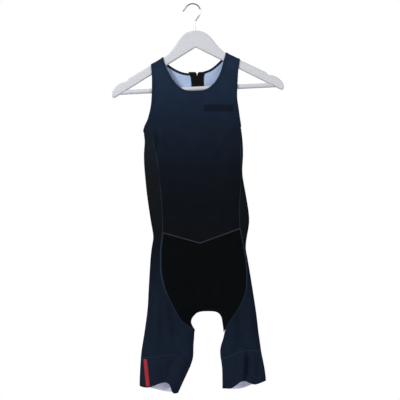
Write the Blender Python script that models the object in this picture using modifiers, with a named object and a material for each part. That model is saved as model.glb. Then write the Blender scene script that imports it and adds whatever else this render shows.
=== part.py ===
"""A sleeveless cycling suit that hangs flat on a wooden clothes hanger.

Lengths in the tables are millimetres. X runs to the viewer's right, Y away from the viewer
and Z up. The origin is the inside top of the hook, where a rail or nail carries it.

The suit is one hollow pocket of cloth. SECTIONS gives, for each height, where the cloth folds
round at the left and the right and how far its front and back stand off the middle plane.
A piece of the suit is a grid of points on that pocket, between its own seams, thickened
outwards. Pieces that meet at a seam share their rows, so the gap between them stays even.
"""

import math
from collections import namedtuple

import bmesh
import bpy
import numpy as np
from mathutils import Matrix, Vector

MM = 0.001

# Cloth
WALL = 1.2
BINDING_WALL = 1.8
BINDING_WIDTH = 6.0
TAPE_WALL = 1.0
SEAM_GAP = 0.3
WELD = 1e-6

# Hanger, measured in its own upright frame
TILT = math.radians(2.8)
HANGER_CENTRE = 3.2
HANGER_TOP = -67.7
WOOD_THICKNESS = 12.0
WOOD_ROUNDING = 3.5
ARM_SLOPE = math.radians(28.1)
ARM_LINE = -89.5
UNDERSIDE_APEX = 44.0
UNDERSIDE_SLOPE = 0.557
BAR_RADIUS = 6.0
BAR_DROP = 151.3
WIRE_RADIUS = 1.7
HOOK_RADIUS = 20.0
HOOK_TIP = 15.5
HOOK_END_ANGLE = 140
HOOK_LOW_ANGLE = -38
HOOK_RUN = 14.3
HOOK_BEND = 18.0
BORE_DEPTH = 18.0

# Straps over the hanger's arms
CLEARANCE = 0.3
ARM_CLEARANCE = 0.5
STRAP_HALF = WOOD_THICKNESS / 2 + CLEARANCE
ROLL_FLAT = WOOD_THICKNESS / 2 - WOOD_ROUNDING
ROLL_TURN = 0.75
STRAP_REACH = 70.0
GAP_ROUND = 32.0

# Rows of the grids along each stretch of an edge
ROLL_ROWS = 5
ARMHOLE_ROWS = 10
HORN_ROWS = 4
SIDE_ROWS = 10
HIP_ROWS = 3
THIGH_ROWS = 9
KNEE_ROWS = 4
BAND_ROWS = 4
NECK_ROWS = 12
BACK_NECK_ROWS = 8
HALF_COLUMNS = 6
LEG_COLUMNS = 11
TAPE_COLUMNS = 3

# Fineness of the curves that the rows are read from
CURVE_STEPS = 40
GAP_STEPS = 12
ARMHOLE_STEPS = 8
TURN_STEPS = 90
SLOPE_PROBE = 0.5
FOLD_FADE = 4

# Zip
ZIP_END = -545.0
ZIP_HALF_GAP = 4.5
ZIP_CLOSE = 5.0
ROWS_BELOW_ZIP = 2
TAPE_HALF = 16.0
TAPE_ROWS = 16
TAPE_TOP = -173.5
TAPE_TAIL = 8.0
TAPE_SLACK = 0.4
FLARE_HEIGHT = 11.5
FLARE_WIDTH = 7.0
NOTCH_HEIGHT = 4.5
NOTCH_WIDTH = 4.2
SLIDER_WIDTH = 8.0
SLIDER_THICKNESS = 3.2
SLIDER_LENGTH = 12.0
SLIDER_HEIGHT = -189.0
LUG_SIZE = (1.2, 4.2, 4.0)
LUG_SINK = 0.5
LUG_SPREAD = 2.55
PIN_RADIUS = 0.7
PIN_HOLE_RADIUS = 1.0
PIN_STAND = 1.9
PIN_RISE = 3.5
PIN_HALF_LENGTH = 3.1
TAB_THICKNESS = 1.6
SMALL_BEVEL = 0.5

# Gaps between neighbours whose seam runs at a slant or lies edge to edge
BAND_GAP = 0.4
CROTCH_GAP = 0.4
BAR_END_GAP = 0.3
UNDERARM_EASE = 0.45
TIP_EASE = 3.2
TIP_RISE = 60.0

# Roundness of the hard pieces
ROUND_SEGMENTS = 20
WOOD_STEPS = 3
SHOULDER_STEPS = 18
TIP_STEPS = 12
HOOK_STEPS = 22
BEND_STEPS = 5
WIRE_BEVEL_STEPS = 2
SHARP_ANGLE = math.radians(40)

Section = namedtuple("Section", "z left right front back round")
SECTIONS = [
    Section(-1015, -137.9, 191.9, 12, 12, 34),
    Section(-974, -137.6, 191.6, 12, 12, 34),
    Section(-932, -135.7, 186.1, 12, 12, 36),
    Section(-901, -133.4, 179.4, 13, 12, 38),
    Section(-870, -128.4, 175.2, 13, 13, 40),
    Section(-844, -124.3, 171.1, 14, 14, 42),
    Section(-818, -120.4, 168.4, 15, 16, 44),
    Section(-787, -116.2, 164.0, 17, 18, 46),
    Section(-740, -113.7, 156.5, 18, 20, 50),
    Section(-694, -110.9, 149.1, 18, 21, 52),
    Section(-652, -108.2, 141.8, 17, 19, 54),
    Section(-631, -105.8, 137.4, 16, 17, 54),
    Section(-610, -101.7, 139.8, 16, 16, 54),
    Section(-600, -100.2, 141.3, 16, 16, 54),
    Section(-590, -103.2, 143.4, 16, 16, 54),
    Section(-559, -108.3, 148.6, 16, 16, 54),
    Section(-533, -112.3, 145.6, 16, 16, 54),
    Section(-507, -116.0, 141.2, 17, 17, 54),
    Section(-481, -119.5, 136.5, 17, 17, 54),
    Section(-455, -121.8, 131.3, 17, 17, 54),
    Section(-434, -123.8, 128.2, 17, 17, 54),
    Section(-403, -126.0, 131.2, 17, 17, 52),
    Section(-372, -125.8, 131.8, 17, 17, 52),
    Section(-351, -122.4, 129.9, 17, 17, 50),
    Section(-341, -126.3, 128.9, 17, 17, 50),
    Section(-331, -127.8, 127.9, 17, 17, 50),
    Section(-315, -127.8, 126.4, 16, 16, 50),
    Section(-250, -128.0, 126.6, 15, 15, 50),
    Section(-210, -128.0, 126.8, 13, 13, 50),
    Section(-120, -128.0, 126.8, 10, 10, 50),
]

Point = namedtuple("Point", "x z")
# The space between the legs, from the left hem up over the crotch to the right hem.
LEG_GAP = [
    Point(-39.2, -1012),
    Point(-30.7, -995),
    Point(-21.4, -974),
    Point(-11.3, -953),
    Point(-1.7, -932),
    Point(3.2, -922),
    Point(4.7, -911),
    Point(3.6, -895),
    Point(2.5, -880),
    Point(6.3, -865),
    Point(9.4, -857),
    Point(6.4, -843),
    Point(-5.9, -822),
    Point(0.3, -811),
    Point(10.6, -798),
    Point(20.0, -795),
    Point(52.0, -794.5),
    Point(64.0, -796),
    Point(73.4, -803),
    Point(77.0, -818),
    Point(79.8, -836),
    Point(81.2, -848),
    Point(83.6, -855),
    Point(79.2, -867),
    Point(73.2, -880),
    Point(70.2, -902),
    Point(73.4, -922),
    Point(76.4, -943),
    Point(77.0, -1012),
]

FRONT_NECK_LEFT = [
    Point(-74.5, -143),
    Point(-71.6, -154),
    Point(-67.0, -164),
    Point(-57.6, -185),
    Point(-51.4, -195),
    Point(-43.1, -206),
    Point(-32.2, -216),
    Point(-20.5, -223.6),
    Point(-8.0, -225.4),
    Point(5.0, -225.6),
]
FRONT_NECK_RIGHT = [
    Point(85.9, -128),
    Point(84.9, -133),
    Point(81.7, -143),
    Point(78.6, -154),
    Point(73.4, -174.5),
    Point(68.8, -185),
    Point(63.6, -195),
    Point(55.8, -206),
    Point(44.5, -216),
    Point(33.5, -223),
    Point(22.0, -225.2),
    Point(5.0, -225.6),
]
BACK_NECK_LEFT = [
    Point(-74.5, -143),
    Point(-64.0, -153.5),
    Point(-52.9, -161.5),
    Point(-42.6, -167.5),
    Point(-32.2, -172.2),
    Point(-21.8, -175.4),
    Point(-11.4, -176.6),
    Point(7.5, -176.2),
]
BACK_NECK_RIGHT = [
    Point(85.9, -128),
    Point(73.0, -144),
    Point(61.2, -155),
    Point(50.9, -163.6),
    Point(40.5, -168.8),
    Point(30.1, -172.2),
    Point(16.5, -175.2),
]
ARMHOLE_LEFT = [
    Point(-106.7, -160),
    Point(-105.6, -174),
    Point(-104.1, -195),
    Point(-104.1, -216),
    Point(-104.5, -237),
    Point(-105.8, -258),
    Point(-109.2, -278),
    Point(-113.4, -294),
    Point(-116.8, -304),
    Point(-121.6, -312),
    Point(-124.4, -320),
]
ARMHOLE_RIGHT = [
    Point(122.5, -147),
    Point(119.6, -162),
    Point(117.6, -182),
    Point(116.4, -205),
    Point(115.3, -226),
    Point(114.8, -243),
    Point(117.0, -258),
    Point(118.9, -270),
    Point(121.0, -286),
    Point(122.3, -296),
    Point(123.9, -306),
]
UNDERARM_LEFT = -331.0
UNDERARM_RIGHT = -318.0
SEAM_ON_ARMHOLE = 0.83

# Seams, each from its top end down.
SIDE_FRONT_LEFT = [
    Point(-105.4, -324),
    Point(-100.7, -359),
    Point(-90.6, -398),
    Point(-85.6, -444),
    Point(-79.1, -507),
    Point(-75.5, -591),
]
SIDE_FRONT_RIGHT = [
    Point(119.0, -315),
    Point(122.8, -351),
    Point(124.6, -403),
    Point(125.4, -451),
    Point(122.5, -496),
    Point(120.9, -545),
    Point(122.7, -580),
]
SIDE_BACK_LEFT = [
    Point(-108.0, -326),
    Point(-104.0, -370),
    Point(-98.0, -430),
    Point(-89.0, -520),
    Point(-80.0, -600),
]
SIDE_BACK_RIGHT = [
    Point(112.0, -316),
    Point(104.0, -370),
    Point(103.0, -430),
    Point(109.0, -520),
    Point(118.0, -594),
]
BRIEF_LEFT = [
    Point(-75.5, -591),
    Point(-81.5, -646),
    Point(-81.0, -686),
    Point(-74.2, -725),
    Point(-61.0, -758),
    Point(-41.3, -798),
    Point(-24.7, -826),
    Point(-9.0, -836),
]
BRIEF_RIGHT = [
    Point(122.7, -580),
    Point(132.2, -629),
    Point(136.6, -656),
    Point(140.4, -692),
    Point(139.6, -732),
    Point(131.0, -765),
    Point(111.1, -798),
    Point(94.0, -824),
    Point(88.0, -836),
]
SEAT_LEFT = [
    Point(-80.0, -600),
    Point(-86.0, -660),
    Point(-84.0, -720),
    Point(-66.0, -772),
    Point(-38.0, -812),
    Point(-12.0, -834),
]
SEAT_RIGHT = [
    Point(118.0, -594),
    Point(124.0, -660),
    Point(124.0, -720),
    Point(116.0, -772),
    Point(102.0, -812),
    Point(91.0, -836),
]
FRONT_CENTRE = [Point(5.0, -231.9), Point(12.0, -380), Point(20.0, -617.5)]
ZIP_LINE = [
    Point(12.0, -165),
    Point(12.2, -190),
    Point(15.0, -215),
    Point(17.0, -300),
    Point(20.0, -545),
    Point(20.0, -589),
]

Side = namedtuple("Side", "underarm_seam underarm_fold waist_seam waist_fold hip horn")
# The left fold's first row below the underarm falls in the notch of its outline.
LEFT_ROWS = Side(-356, UNDERARM_LEFT + 7.0, -591, -600, -652, -843)
RIGHT_ROWS = Side(-345, UNDERARM_RIGHT - 6.3, -580, -592, -652, -848)
LEFT_BACK_ROWS = Side(-356, UNDERARM_LEFT + 7.0, -600, -600, -652, -843)
RIGHT_BACK_ROWS = Side(-345, UNDERARM_RIGHT - 6.3, -594, -592, -652, -848)

# Heights across a leg, from its outer fold (0) to its inner fold (1).
Across = namedtuple("Across", "share z")
BAND_SEAM_LEFT = [
    Across(0.00, -914),
    Across(0.31, -910),
    Across(0.44, -907),
    Across(0.57, -903.5),
    Across(0.65, -905),
    Across(0.71, -911),
    Across(0.83, -926),
    Across(0.92, -934),
    Across(1.00, -938),
]
BAND_SEAM_RIGHT = [
    Across(0.00, -896.5),
    Across(0.09, -895.5),
    Across(0.24, -893.5),
    Across(0.43, -894.5),
    Across(0.57, -897.5),
    Across(0.71, -905.5),
    Across(0.83, -911),
    Across(0.92, -914.5),
    Across(1.00, -916),
]
BACK_SEAM_LEFT = [Across(0.0, -914), Across(0.5, -919), Across(1.0, -938)]
BACK_SEAM_RIGHT = [Across(0.0, -896.5), Across(0.5, -903), Across(1.0, -916)]
FRONT_HEM_LEFT = [
    Across(0.00, -987),
    Across(0.08, -989.5),
    Across(0.17, -990.5),
    Across(0.29, -988.5),
    Across(0.43, -980.5),
    Across(0.57, -975.5),
    Across(0.64, -975.5),
    Across(0.71, -979),
    Across(0.83, -1004),
    Across(0.92, -1006.5),
    Across(1.00, -1005.5),
]
BACK_HEM_LEFT = [
    Across(0.00, -987),
    Across(0.19, -993.5),
    Across(0.42, -998.8),
    Across(0.64, -1004.4),
    Across(0.84, -1006.5),
    Across(1.00, -1005.5),
]
FRONT_HEM_RIGHT = [
    Across(0.00, -973.5),
    Across(0.08, -976.5),
    Across(0.17, -980),
    Across(0.29, -984),
    Across(0.36, -981),
    Across(0.43, -974.5),
    Across(0.50, -971),
    Across(0.57, -971),
    Across(0.71, -986.5),
    Across(0.83, -994),
    Across(0.92, -992.5),
    Across(1.00, -994.5),
]
BACK_HEM_RIGHT = [
    Across(0.00, -973.5),
    Across(0.17, -980),
    Across(0.29, -985),
    Across(0.40, -991),
    Across(0.53, -996),
    Across(0.68, -999),
    Across(0.83, -997.5),
    Across(1.00, -994.5),
]

# Largest folds: soft ridges (lift above 0) and troughs (below 0) from one end to the other.
Fold = namedtuple("Fold", "side x0 z0 x1 z1 width lift")
FRONT, BACK = -1, 1
BODY_COLUMN = {FRONT: "front", BACK: "back"}
FOLDS = [
    Fold(FRONT, -43, -900, -61, -990, 9, 4.5),
    Fold(FRONT, -68, -735, -66, -905, 15, -4.0),
    Fold(FRONT, -35, -850, -22, -935, 12, 3.0),
    Fold(FRONT, 135, -890, 138, -965, 7, -5.0),
    Fold(FRONT, 118, -905, 112, -985, 11, 3.0),
    Fold(FRONT, -96, -318, -80, -405, 8, -4.0),
    Fold(FRONT, 104, -285, 96, -390, 14, -3.0),
    Fold(FRONT, -60, -520, -20, -575, 16, 2.5),
    Fold(FRONT, 95, -500, 70, -572, 18, -2.5),
    Fold(FRONT, -20, -760, 5, -700, 16, -3.0),
    Fold(FRONT, 60, -765, 45, -705, 16, -3.5),
    Fold(BACK, -60, -300, -45, -440, 18, 3.0),
    Fold(BACK, 85, -320, 70, -470, 16, -3.5),
    Fold(BACK, -40, -640, -10, -760, 18, -4.0),
    Fold(BACK, 85, -650, 60, -770, 20, -4.0),
    Fold(BACK, -75, -840, -70, -960, 13, 4.0),
    Fold(BACK, 125, -830, 132, -960, 12, -4.0),
]

HangerPoint = namedtuple("HangerPoint", "out down")
# Half of the hanger's top edge, and the notch and tip at its end.
HANGER_SHOULDER = [
    HangerPoint(0, 0),
    HangerPoint(20, 4.3),
    HangerPoint(32, 12),
    HangerPoint(43, 24),
    HangerPoint(52, 37),
    HangerPoint(62, 49.5),
    HangerPoint(75, 62.0),
    HangerPoint(95, 72.7),
    HangerPoint(178, 117.0),
]
HANGER_TIP = [
    HangerPoint(184, 124.5),
    HangerPoint(195, 126),
    HangerPoint(206, 131),
    HangerPoint(215, 139),
    HangerPoint(221.5, 149),
    HangerPoint(223, 159),
    HangerPoint(219.5, 165.5),
    HangerPoint(212, 162.1),
]

# The slider's outline, from its middle, and the pull tab's, from its hinge pin.
SLIDER_OUTLINE = [
    Point(-3.2, 6.0),
    Point(3.2, 6.0),
    Point(4.0, 4.6),
    Point(4.0, 0.5),
    Point(3.0, -5.2),
    Point(2.2, -6.0),
    Point(-2.2, -6.0),
    Point(-3.0, -5.2),
    Point(-4.0, 0.5),
    Point(-4.0, 4.6),
]
TAB_OUTLINE = [
    Point(-1.65, 1.0),
    Point(-1.65, -3.0),
    Point(-3.0, -3.0),
    Point(-3.0, -23.5),
    Point(-1.5, -26.0),
    Point(1.5, -26.0),
    Point(3.0, -23.5),
    Point(3.0, -3.0),
    Point(1.65, -3.0),
    Point(1.65, 1.0),
]

Finish = namedtuple("Finish", "colour roughness metallic")
FINISHES = {
    "navy": Finish((0.012, 0.024, 0.046, 1), 0.85, 0),
    "brief_black": Finish((0.004, 0.0045, 0.005, 1), 0.85, 0),
    "seat_black": Finish((0.005, 0.006, 0.008, 1), 0.85, 0),
    "side_navy": Finish((0.009, 0.017, 0.030, 1), 0.85, 0),
    "band_navy": Finish((0.010, 0.020, 0.033, 1), 0.85, 0),
    "binding": Finish((0.006, 0.009, 0.018, 1), 0.85, 0),
    "tape": Finish((0.004, 0.004, 0.004, 1), 0.85, 0),
    "zip_metal": Finish((0.16, 0.16, 0.17, 1), 0.35, 1),
    "white_paint": Finish((0.62, 0.63, 0.66, 1), 0.4, 0),
    "steel": Finish((0.30, 0.30, 0.31, 1), 0.3, 1),
}


# Curves

def slopes(xs, ys):
    """Slopes at a table's points that keep a curve through them from overshooting."""
    step = np.diff(ys) / np.diff(xs)
    product = step[:-1] * step[1:]
    total = np.where(product > 0, step[:-1] + step[1:], 1)
    inner = np.where(product > 0, 2 * product / total, 0)
    return np.concatenate([[step[0]], inner, [step[-1]]])


def smooth(xs, ys, at):
    """The smooth curve through a table's points, read at the given places."""
    xs, ys, at = np.asarray(xs, float), np.asarray(ys, float), np.asarray(at, float)
    slope = slopes(xs, ys)
    i = np.clip(np.searchsorted(xs, at) - 1, 0, len(xs) - 2)
    width = xs[i + 1] - xs[i]
    t = np.clip((at - xs[i]) / width, 0, 1)
    start = (2 * t**3 - 3 * t**2 + 1) * ys[i] + (t**3 - 2 * t**2 + t) * width * slope[i]
    end = (3 * t**2 - 2 * t**3) * ys[i + 1] + (t**3 - t**2) * width * slope[i + 1]
    return start + end


def reach(points):
    """The length along a polyline at each of its points."""
    return np.concatenate([[0], np.cumsum(np.linalg.norm(np.diff(points, axis=0), axis=1))])


def along(points, count):
    """count + 1 places spread evenly along the smooth curve through the points."""
    points = np.array(points, float)
    length = reach(points)
    fine = np.linspace(0, length[-1], CURVE_STEPS * len(points))
    dense = np.stack([smooth(length, column, fine) for column in points.T], axis=1)
    walked = reach(dense)
    at = np.linspace(0, walked[-1], count + 1)
    return np.stack([np.interp(at, walked, column) for column in dense.T], axis=1)


def at_heights(points, heights):
    """Places on a falling curve at the given heights."""
    points = np.array(points, float)[::-1]
    return np.stack([smooth(points[:, 1], points[:, 0], heights), heights], axis=1)


def normals(curve):
    """Unit normals of a flat curve, to the left of its direction."""
    ahead = np.gradient(curve, axis=0)
    ahead /= np.linalg.norm(ahead, axis=1, keepdims=True)
    return np.stack([-ahead[:, 1], ahead[:, 0]], axis=1)


def smoothstep(t):
    t = np.clip(t, 0, 1)
    return t * t * (3 - 2 * t)


# The pocket of cloth

def section(name, z):
    ordered = sorted(SECTIONS)
    heights = [row.z for row in ordered]
    return smooth(heights, [getattr(row, name) for row in ordered], z)


def left_fold(z):
    return section("left", z) + WALL


def right_fold(z):
    return section("right", z) - WALL


def leg_gap():
    """The inner edge of the legs and the crotch, drawn back by the wall that is added to it."""
    curve = along(LEG_GAP, GAP_STEPS * len(LEG_GAP))
    return curve + WALL * normals(curve)


GAP_CURVE = leg_gap()
CROTCH_INDEX = int(np.argmax(GAP_CURVE[:, 1]))


def left_inner(z):
    half = GAP_CURVE[: CROTCH_INDEX + 1]
    return np.interp(z, half[:, 1], half[:, 0])


def right_inner(z):
    half = GAP_CURVE[CROTCH_INDEX:][::-1]
    return np.interp(z, half[:, 1], half[:, 0])


def gap_distance(x, z):
    """How far each place is from the space between the legs."""
    place = np.stack([x, z], axis=-1)[..., None, :]
    start, end = GAP_CURVE[:-1], GAP_CURVE[1:]
    run = end - start
    t = ((place - start) * run).sum(-1) / (run * run).sum(-1)
    nearest = start + np.clip(t, 0, 1)[..., None] * run
    return np.linalg.norm(place - nearest, axis=-1).min(-1)


def rounding(distance, width):
    """0 at a fold, rising to 1 at width from it, as a quarter of an ellipse."""
    t = np.clip(distance / width, 0, 1)
    return np.sqrt(t * (2 - t))


def folds(x, z, side):
    """The largest folds at each place."""
    lift = np.zeros_like(x)
    for fold in FOLDS:
        if fold.side != side:
            continue
        start = np.array([fold.x0, fold.z0], float)
        run = np.array([fold.x1, fold.z1]) - start
        off = np.stack([x, z], axis=-1) - start
        share = (off @ run) / (run @ run)
        across = (off[..., 0] * run[1] - off[..., 1] * run[0]) / np.linalg.norm(run)
        fade = smoothstep(FOLD_FADE * share) * smoothstep(FOLD_FADE * (1 - share))
        lift += fold.lift * fade * np.exp(-((across / fold.width) ** 2))
    return lift


def arm_top(x):
    """Height of the hanger arm's top edge, on either side of the hook."""
    sign = np.where(x < 0, -1, 1)
    angle = TILT - sign * ARM_SLOPE
    foot_x = HANGER_CENTRE * math.cos(TILT) - ARM_LINE * math.sin(TILT)
    foot_z = HANGER_CENTRE * math.sin(TILT) + ARM_LINE * math.cos(TILT)
    return foot_z + (x - foot_x) * np.tan(angle)


def roll_rise(x):
    """Height of the rounded part of a strap over the arm, measured straight up."""
    angle = np.where(x < 0, TILT + ARM_SLOPE, TILT - ARM_SLOPE)
    return WOOD_ROUNDING / np.cos(angle)


def roll_start(x):
    return arm_top(x) - roll_rise(x)


def depth(x, z, side):
    """How far the inside of the cloth stands off the middle plane."""
    width = section("round", z)
    body = section(BODY_COLUMN[side], z)
    edges = rounding(x - left_fold(z), width) * rounding(right_fold(z) - x, width)
    edges = edges * rounding(gap_distance(x, z), GAP_ROUND)
    hanging = (body + folds(x, z, side)) * edges
    near_arm = smoothstep((z - roll_start(x) + STRAP_REACH) / STRAP_REACH)
    return hanging + (STRAP_HALF - hanging) * near_arm


def over_arm(x, over, side):
    """Places on a strap's roll: over goes from 0 where it leaves the flat to 1 at the top."""
    turn = np.clip(over / ROLL_TURN, 0, 1) * math.pi / 2
    level = np.clip((over - ROLL_TURN) / (1 - ROLL_TURN), 0, 1)
    out = ROLL_FLAT * (1 - level) + (STRAP_HALF - ROLL_FLAT) * np.cos(turn)
    rise = (roll_rise(x) + ARM_CLEARANCE) * np.sin(turn)
    return side * out, roll_start(x) + rise


def placed(places, side, inwards=0.0):
    """Points in space for places (x, z, over) on the front or the back of the suit."""
    x, z, over = places[..., 0], places[..., 1], places[..., 2]
    flat_y = side * (depth(x, z, side) - inwards)
    roll_y, roll_z = over_arm(x, over, side)
    y = np.where(over > 0, roll_y, flat_y)
    height = np.where(over > 0, roll_z, z)
    return np.stack([x, y, height], axis=-1)


def flat(curve):
    """A curve of (x, z) as places that lie below the straps' rolls."""
    return np.column_stack([curve, np.zeros(len(curve))])


def shifted(curve, side, distance):
    """A curve moved sideways over the cloth, to the left of its direction if above 0."""
    across = normals(curve)
    ahead = curve + SLOPE_PROBE * across
    behind = curve - SLOPE_PROBE * across
    rise = depth(ahead[:, 0], ahead[:, 1], side) - depth(behind[:, 0], behind[:, 1], side)
    slope = rise / (2 * SLOPE_PROBE)
    return curve + across * np.atleast_1d(distance / np.sqrt(1 + slope**2))[:, None]


# Grids

def between(start, end, shares):
    """Rows of places from one edge to the other, at the given shares of the way."""
    shares = np.atleast_2d(shares)[..., None]
    return start[:, None, :] * (1 - shares) + end[:, None, :] * shares


def even(columns):
    return np.linspace(0, 1, columns + 1)


def from_fold(columns):
    """Shares that are dense at a fold, where the cloth turns."""
    return 1 - np.cos(even(columns) * math.pi / 2)


def fold_to_fold(columns):
    return (1 - np.cos(even(columns) * math.pi)) / 2


def coons(top, bottom, left, right):
    """A grid of places inside four edges that share their corners."""
    down = np.linspace(0, 1, len(left))[:, None, None]
    across = np.linspace(0, 1, len(top))[None, :, None]
    rows = (1 - down) * top[None] + down * bottom[None]
    columns = (1 - across) * left[:, None] + across * right[:, None]
    corners = (1 - down) * ((1 - across) * top[0] + across * top[-1])
    corners = corners + down * ((1 - across) * bottom[0] + across * bottom[-1])
    return rows + columns - corners


def cloth(name, grids, thickness, colour, outwards=1):
    """One piece of cloth from grids of points in millimetres, each row running to its right."""
    mesh = bpy.data.meshes.new(name)
    build = bmesh.new()
    for grid in grids:
        points = [[build.verts.new(Vector(p) * MM) for p in row] for row in grid.tolist()]
        for upper, lower in zip(points[:-1], points[1:]):
            for i in range(len(upper) - 1):
                build.faces.new((upper[i], lower[i], lower[i + 1], upper[i + 1]))
    bmesh.ops.remove_doubles(build, verts=build.verts, dist=WELD)
    build.to_mesh(mesh)
    build.free()
    mesh.shade_smooth()
    piece = add_object(name, mesh, colour)
    wall = piece.modifiers.new("Wall", "SOLIDIFY")
    wall.thickness = thickness * MM
    wall.offset = outwards
    return piece


# Edges of the suit

def round_fold(z, side):
    """Distances inwards from a fold, and the length of the cloth from the fold to each."""
    width = float(section("round", z))
    body = float(section(BODY_COLUMN[side], z))
    turn = np.linspace(0, math.pi / 2, TURN_STEPS)
    away = width * (1 - np.cos(turn))
    return away, reach(np.stack([away, body * np.sin(turn)], axis=1))


def unrolled(x, z, side, fold):
    """Distance round the cloth from its outer fold to each x."""
    result = []
    for px, pz in zip(x, z):
        away, walked = round_fold(pz, side)
        result.append(np.interp(abs(px - fold(pz)), away, walked))
    return np.array(result)


def rolled(girth, z, side, fold):
    """The x at each distance round the cloth from its outer fold."""
    result = []
    inward = 1 if fold is left_fold else -1
    for pg, pz in zip(girth, z):
        away, walked = round_fold(pz, side)
        result.append(fold(pz) + inward * np.interp(pg, walked, away))
    return np.array(result)


def armhole(points, underarm, fold, inset):
    """Front armhole edge from the strap down to the outer fold, moved in over the cloth."""
    count = ARMHOLE_ROWS + HORN_ROWS
    edge = along(list(points) + [Point(float(fold(underarm)), underarm)], ARMHOLE_STEPS * count)
    girth = unrolled(edge[:, 0], edge[:, 1], FRONT, fold)
    girth[-1] = 0
    half = np.stack([girth, edge[:, 1]], axis=1)
    whole = np.concatenate([half, (half * [-1, 1])[-2::-1]])
    moved = whole + inset * normals(whole)
    moved = moved[: len(half)]
    seam = int(SEAM_ON_ARMHOLE * (len(half) - 1))
    rows = np.concatenate([
        np.linspace(0, seam, ARMHOLE_ROWS + 1),
        np.linspace(seam, len(half) - 1, HORN_ROWS + 1)[1:],
    ])
    return moved[rows.round().astype(int)]


def armhole_edge(points, underarm, fold, side, inset):
    moved = armhole(points, underarm, fold, inset)
    x = rolled(np.maximum(moved[:, 0], 0), moved[:, 1], side, fold)
    return np.stack([x, moved[:, 1]], axis=1)


def roll_places(x, top):
    """A strap edge's places over the arm, down from the shoulder seam."""
    over = np.append(top, np.linspace(ROLL_TURN, 0, ROLL_ROWS)[:-1])
    return np.stack([np.full(ROLL_ROWS, x), np.zeros(ROLL_ROWS), over], axis=1)


def hung(curve):
    """A strap's edge whose first place is where the strap leaves the arm's rounding."""
    curve = curve.copy()
    curve[0, 1] = roll_start(curve[0, 0])
    return curve


def strap_edge(curve, top):
    """A strap's edge over the arm and on down its curve."""
    return np.concatenate([roll_places(curve[0, 0], top), flat(curve)])


def neck_edge(points, side, inset, rows):
    """A neck line moved over the cloth, so that front and back meet on the strap."""
    edge = shifted(along(points, rows), side, inset)
    edge[0, 0] = points[0].x + inset
    return hung(edge)


Half = namedtuple("Half", "fold inner underarm armhole sign")
LEFT = Half(left_fold, left_inner, UNDERARM_LEFT, ARMHOLE_LEFT, 1)
RIGHT = Half(right_fold, right_inner, UNDERARM_RIGHT, ARMHOLE_RIGHT, -1)
PANEL_INSET = BINDING_WIDTH + SEAM_GAP
SHOULDER_TOP = 1 - (1 - ROLL_TURN) * SEAM_GAP / 2 / ROLL_FLAT
CENTRE_ROWS = ARMHOLE_ROWS + HORN_ROWS + SIDE_ROWS - NECK_ROWS
ZIP_ROWS = ARMHOLE_ROWS + HORN_ROWS + SIDE_ROWS - BACK_NECK_ROWS


def armhole_rows(half, side, inset):
    return hung(armhole_edge(half.armhole, half.underarm, half.fold, side, inset))


def side_seam(half, side, points, rows, offset):
    """The long seam from the armhole to the waist, moved sideways by offset."""
    corner = armhole_rows(half, side, PANEL_INSET)[ARMHOLE_ROWS]
    heights = np.concatenate([
        np.linspace(corner[1], rows.underarm_seam, HORN_ROWS + 1),
        np.linspace(rows.underarm_seam, rows.waist_seam, SIDE_ROWS + 1)[1:],
    ])
    return shifted(at_heights([Point(*corner)] + points, heights), side, offset)


def hip_seam(half, side, points, rows, offset):
    """The seam from the waist down to the inner leg, opening a little where it ends."""
    tip_z = rows.horn + half.sign * offset * (1 + TIP_EASE)
    tip = Point(float(half.inner(tip_z)), tip_z)
    heights = np.concatenate([
        np.linspace(rows.waist_seam, rows.hip, HIP_ROWS + 1),
        np.linspace(rows.hip, rows.horn, THIGH_ROWS + 1)[1:],
    ])
    opening = 1 + TIP_EASE * smoothstep(1 - (heights - rows.horn) / TIP_RISE)
    seam = shifted(at_heights(points + [Point(tip.x, rows.horn)], heights), side, offset * opening)
    seam[-1] = tip
    return seam


def outer_edge(half, side, points, rows):
    """The edge of a body panel from the shoulder seam to the waist."""
    armhole_part = armhole_rows(half, side, PANEL_INSET)[:ARMHOLE_ROWS]
    seam = side_seam(half, side, points, rows, half.sign * SEAM_GAP / 2)
    seam[-1, 1] += SEAM_GAP / 2
    return strap_edge(np.concatenate([armhole_part, seam]), SHOULDER_TOP)


def body_half(outer, inner, half, side, shares):
    """Half of a body panel, between its outer edge and its neck and centre line."""
    if (half is LEFT) == (side == FRONT):
        return placed(between(outer, inner, shares), side)
    return placed(between(inner, outer, 1 - shares[::-1]), side)


# Pieces of the suit

def front_body():
    apex = np.array([FRONT_CENTRE[-1].x, FRONT_CENTRE[-1].z + SEAM_GAP / 2])
    centre = along(FRONT_CENTRE[:-1] + [Point(*apex)], CENTRE_ROWS)
    grids = []
    for half, neck, points, rows in (
        (LEFT, FRONT_NECK_LEFT, SIDE_FRONT_LEFT, LEFT_ROWS),
        (RIGHT, FRONT_NECK_RIGHT, SIDE_FRONT_RIGHT, RIGHT_ROWS),
    ):
        edge = neck_edge(neck, FRONT, -half.sign * PANEL_INSET, NECK_ROWS)
        inner = strap_edge(np.concatenate([edge[:-1], centre]), SHOULDER_TOP)
        outer = outer_edge(half, FRONT, points, rows)
        grids.append(body_half(outer, inner, half, FRONT, from_fold(HALF_COLUMNS)))
    return cloth("front_body", grids, WALL, "navy")


def zip_x(z):
    line = np.array(ZIP_LINE)[::-1]
    return smooth(line[:, 1], line[:, 0], z)


def zip_edge(half):
    """The back panels' edge beside the zip, then the centre seam below it."""
    top = BACK_NECK_LEFT[-1].z - PANEL_INSET
    bottom = ZIP_LINE[-1].z + SEAM_GAP / 2
    heights = np.concatenate([
        np.linspace(top, ZIP_END, ZIP_ROWS - ROWS_BELOW_ZIP + 1),
        np.linspace(ZIP_END - ZIP_CLOSE, bottom, ROWS_BELOW_ZIP),
    ])
    gap = np.where(heights >= ZIP_END, ZIP_HALF_GAP, SEAM_GAP / 2)
    return np.stack([zip_x(heights) - half.sign * gap, heights], axis=1)


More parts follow.
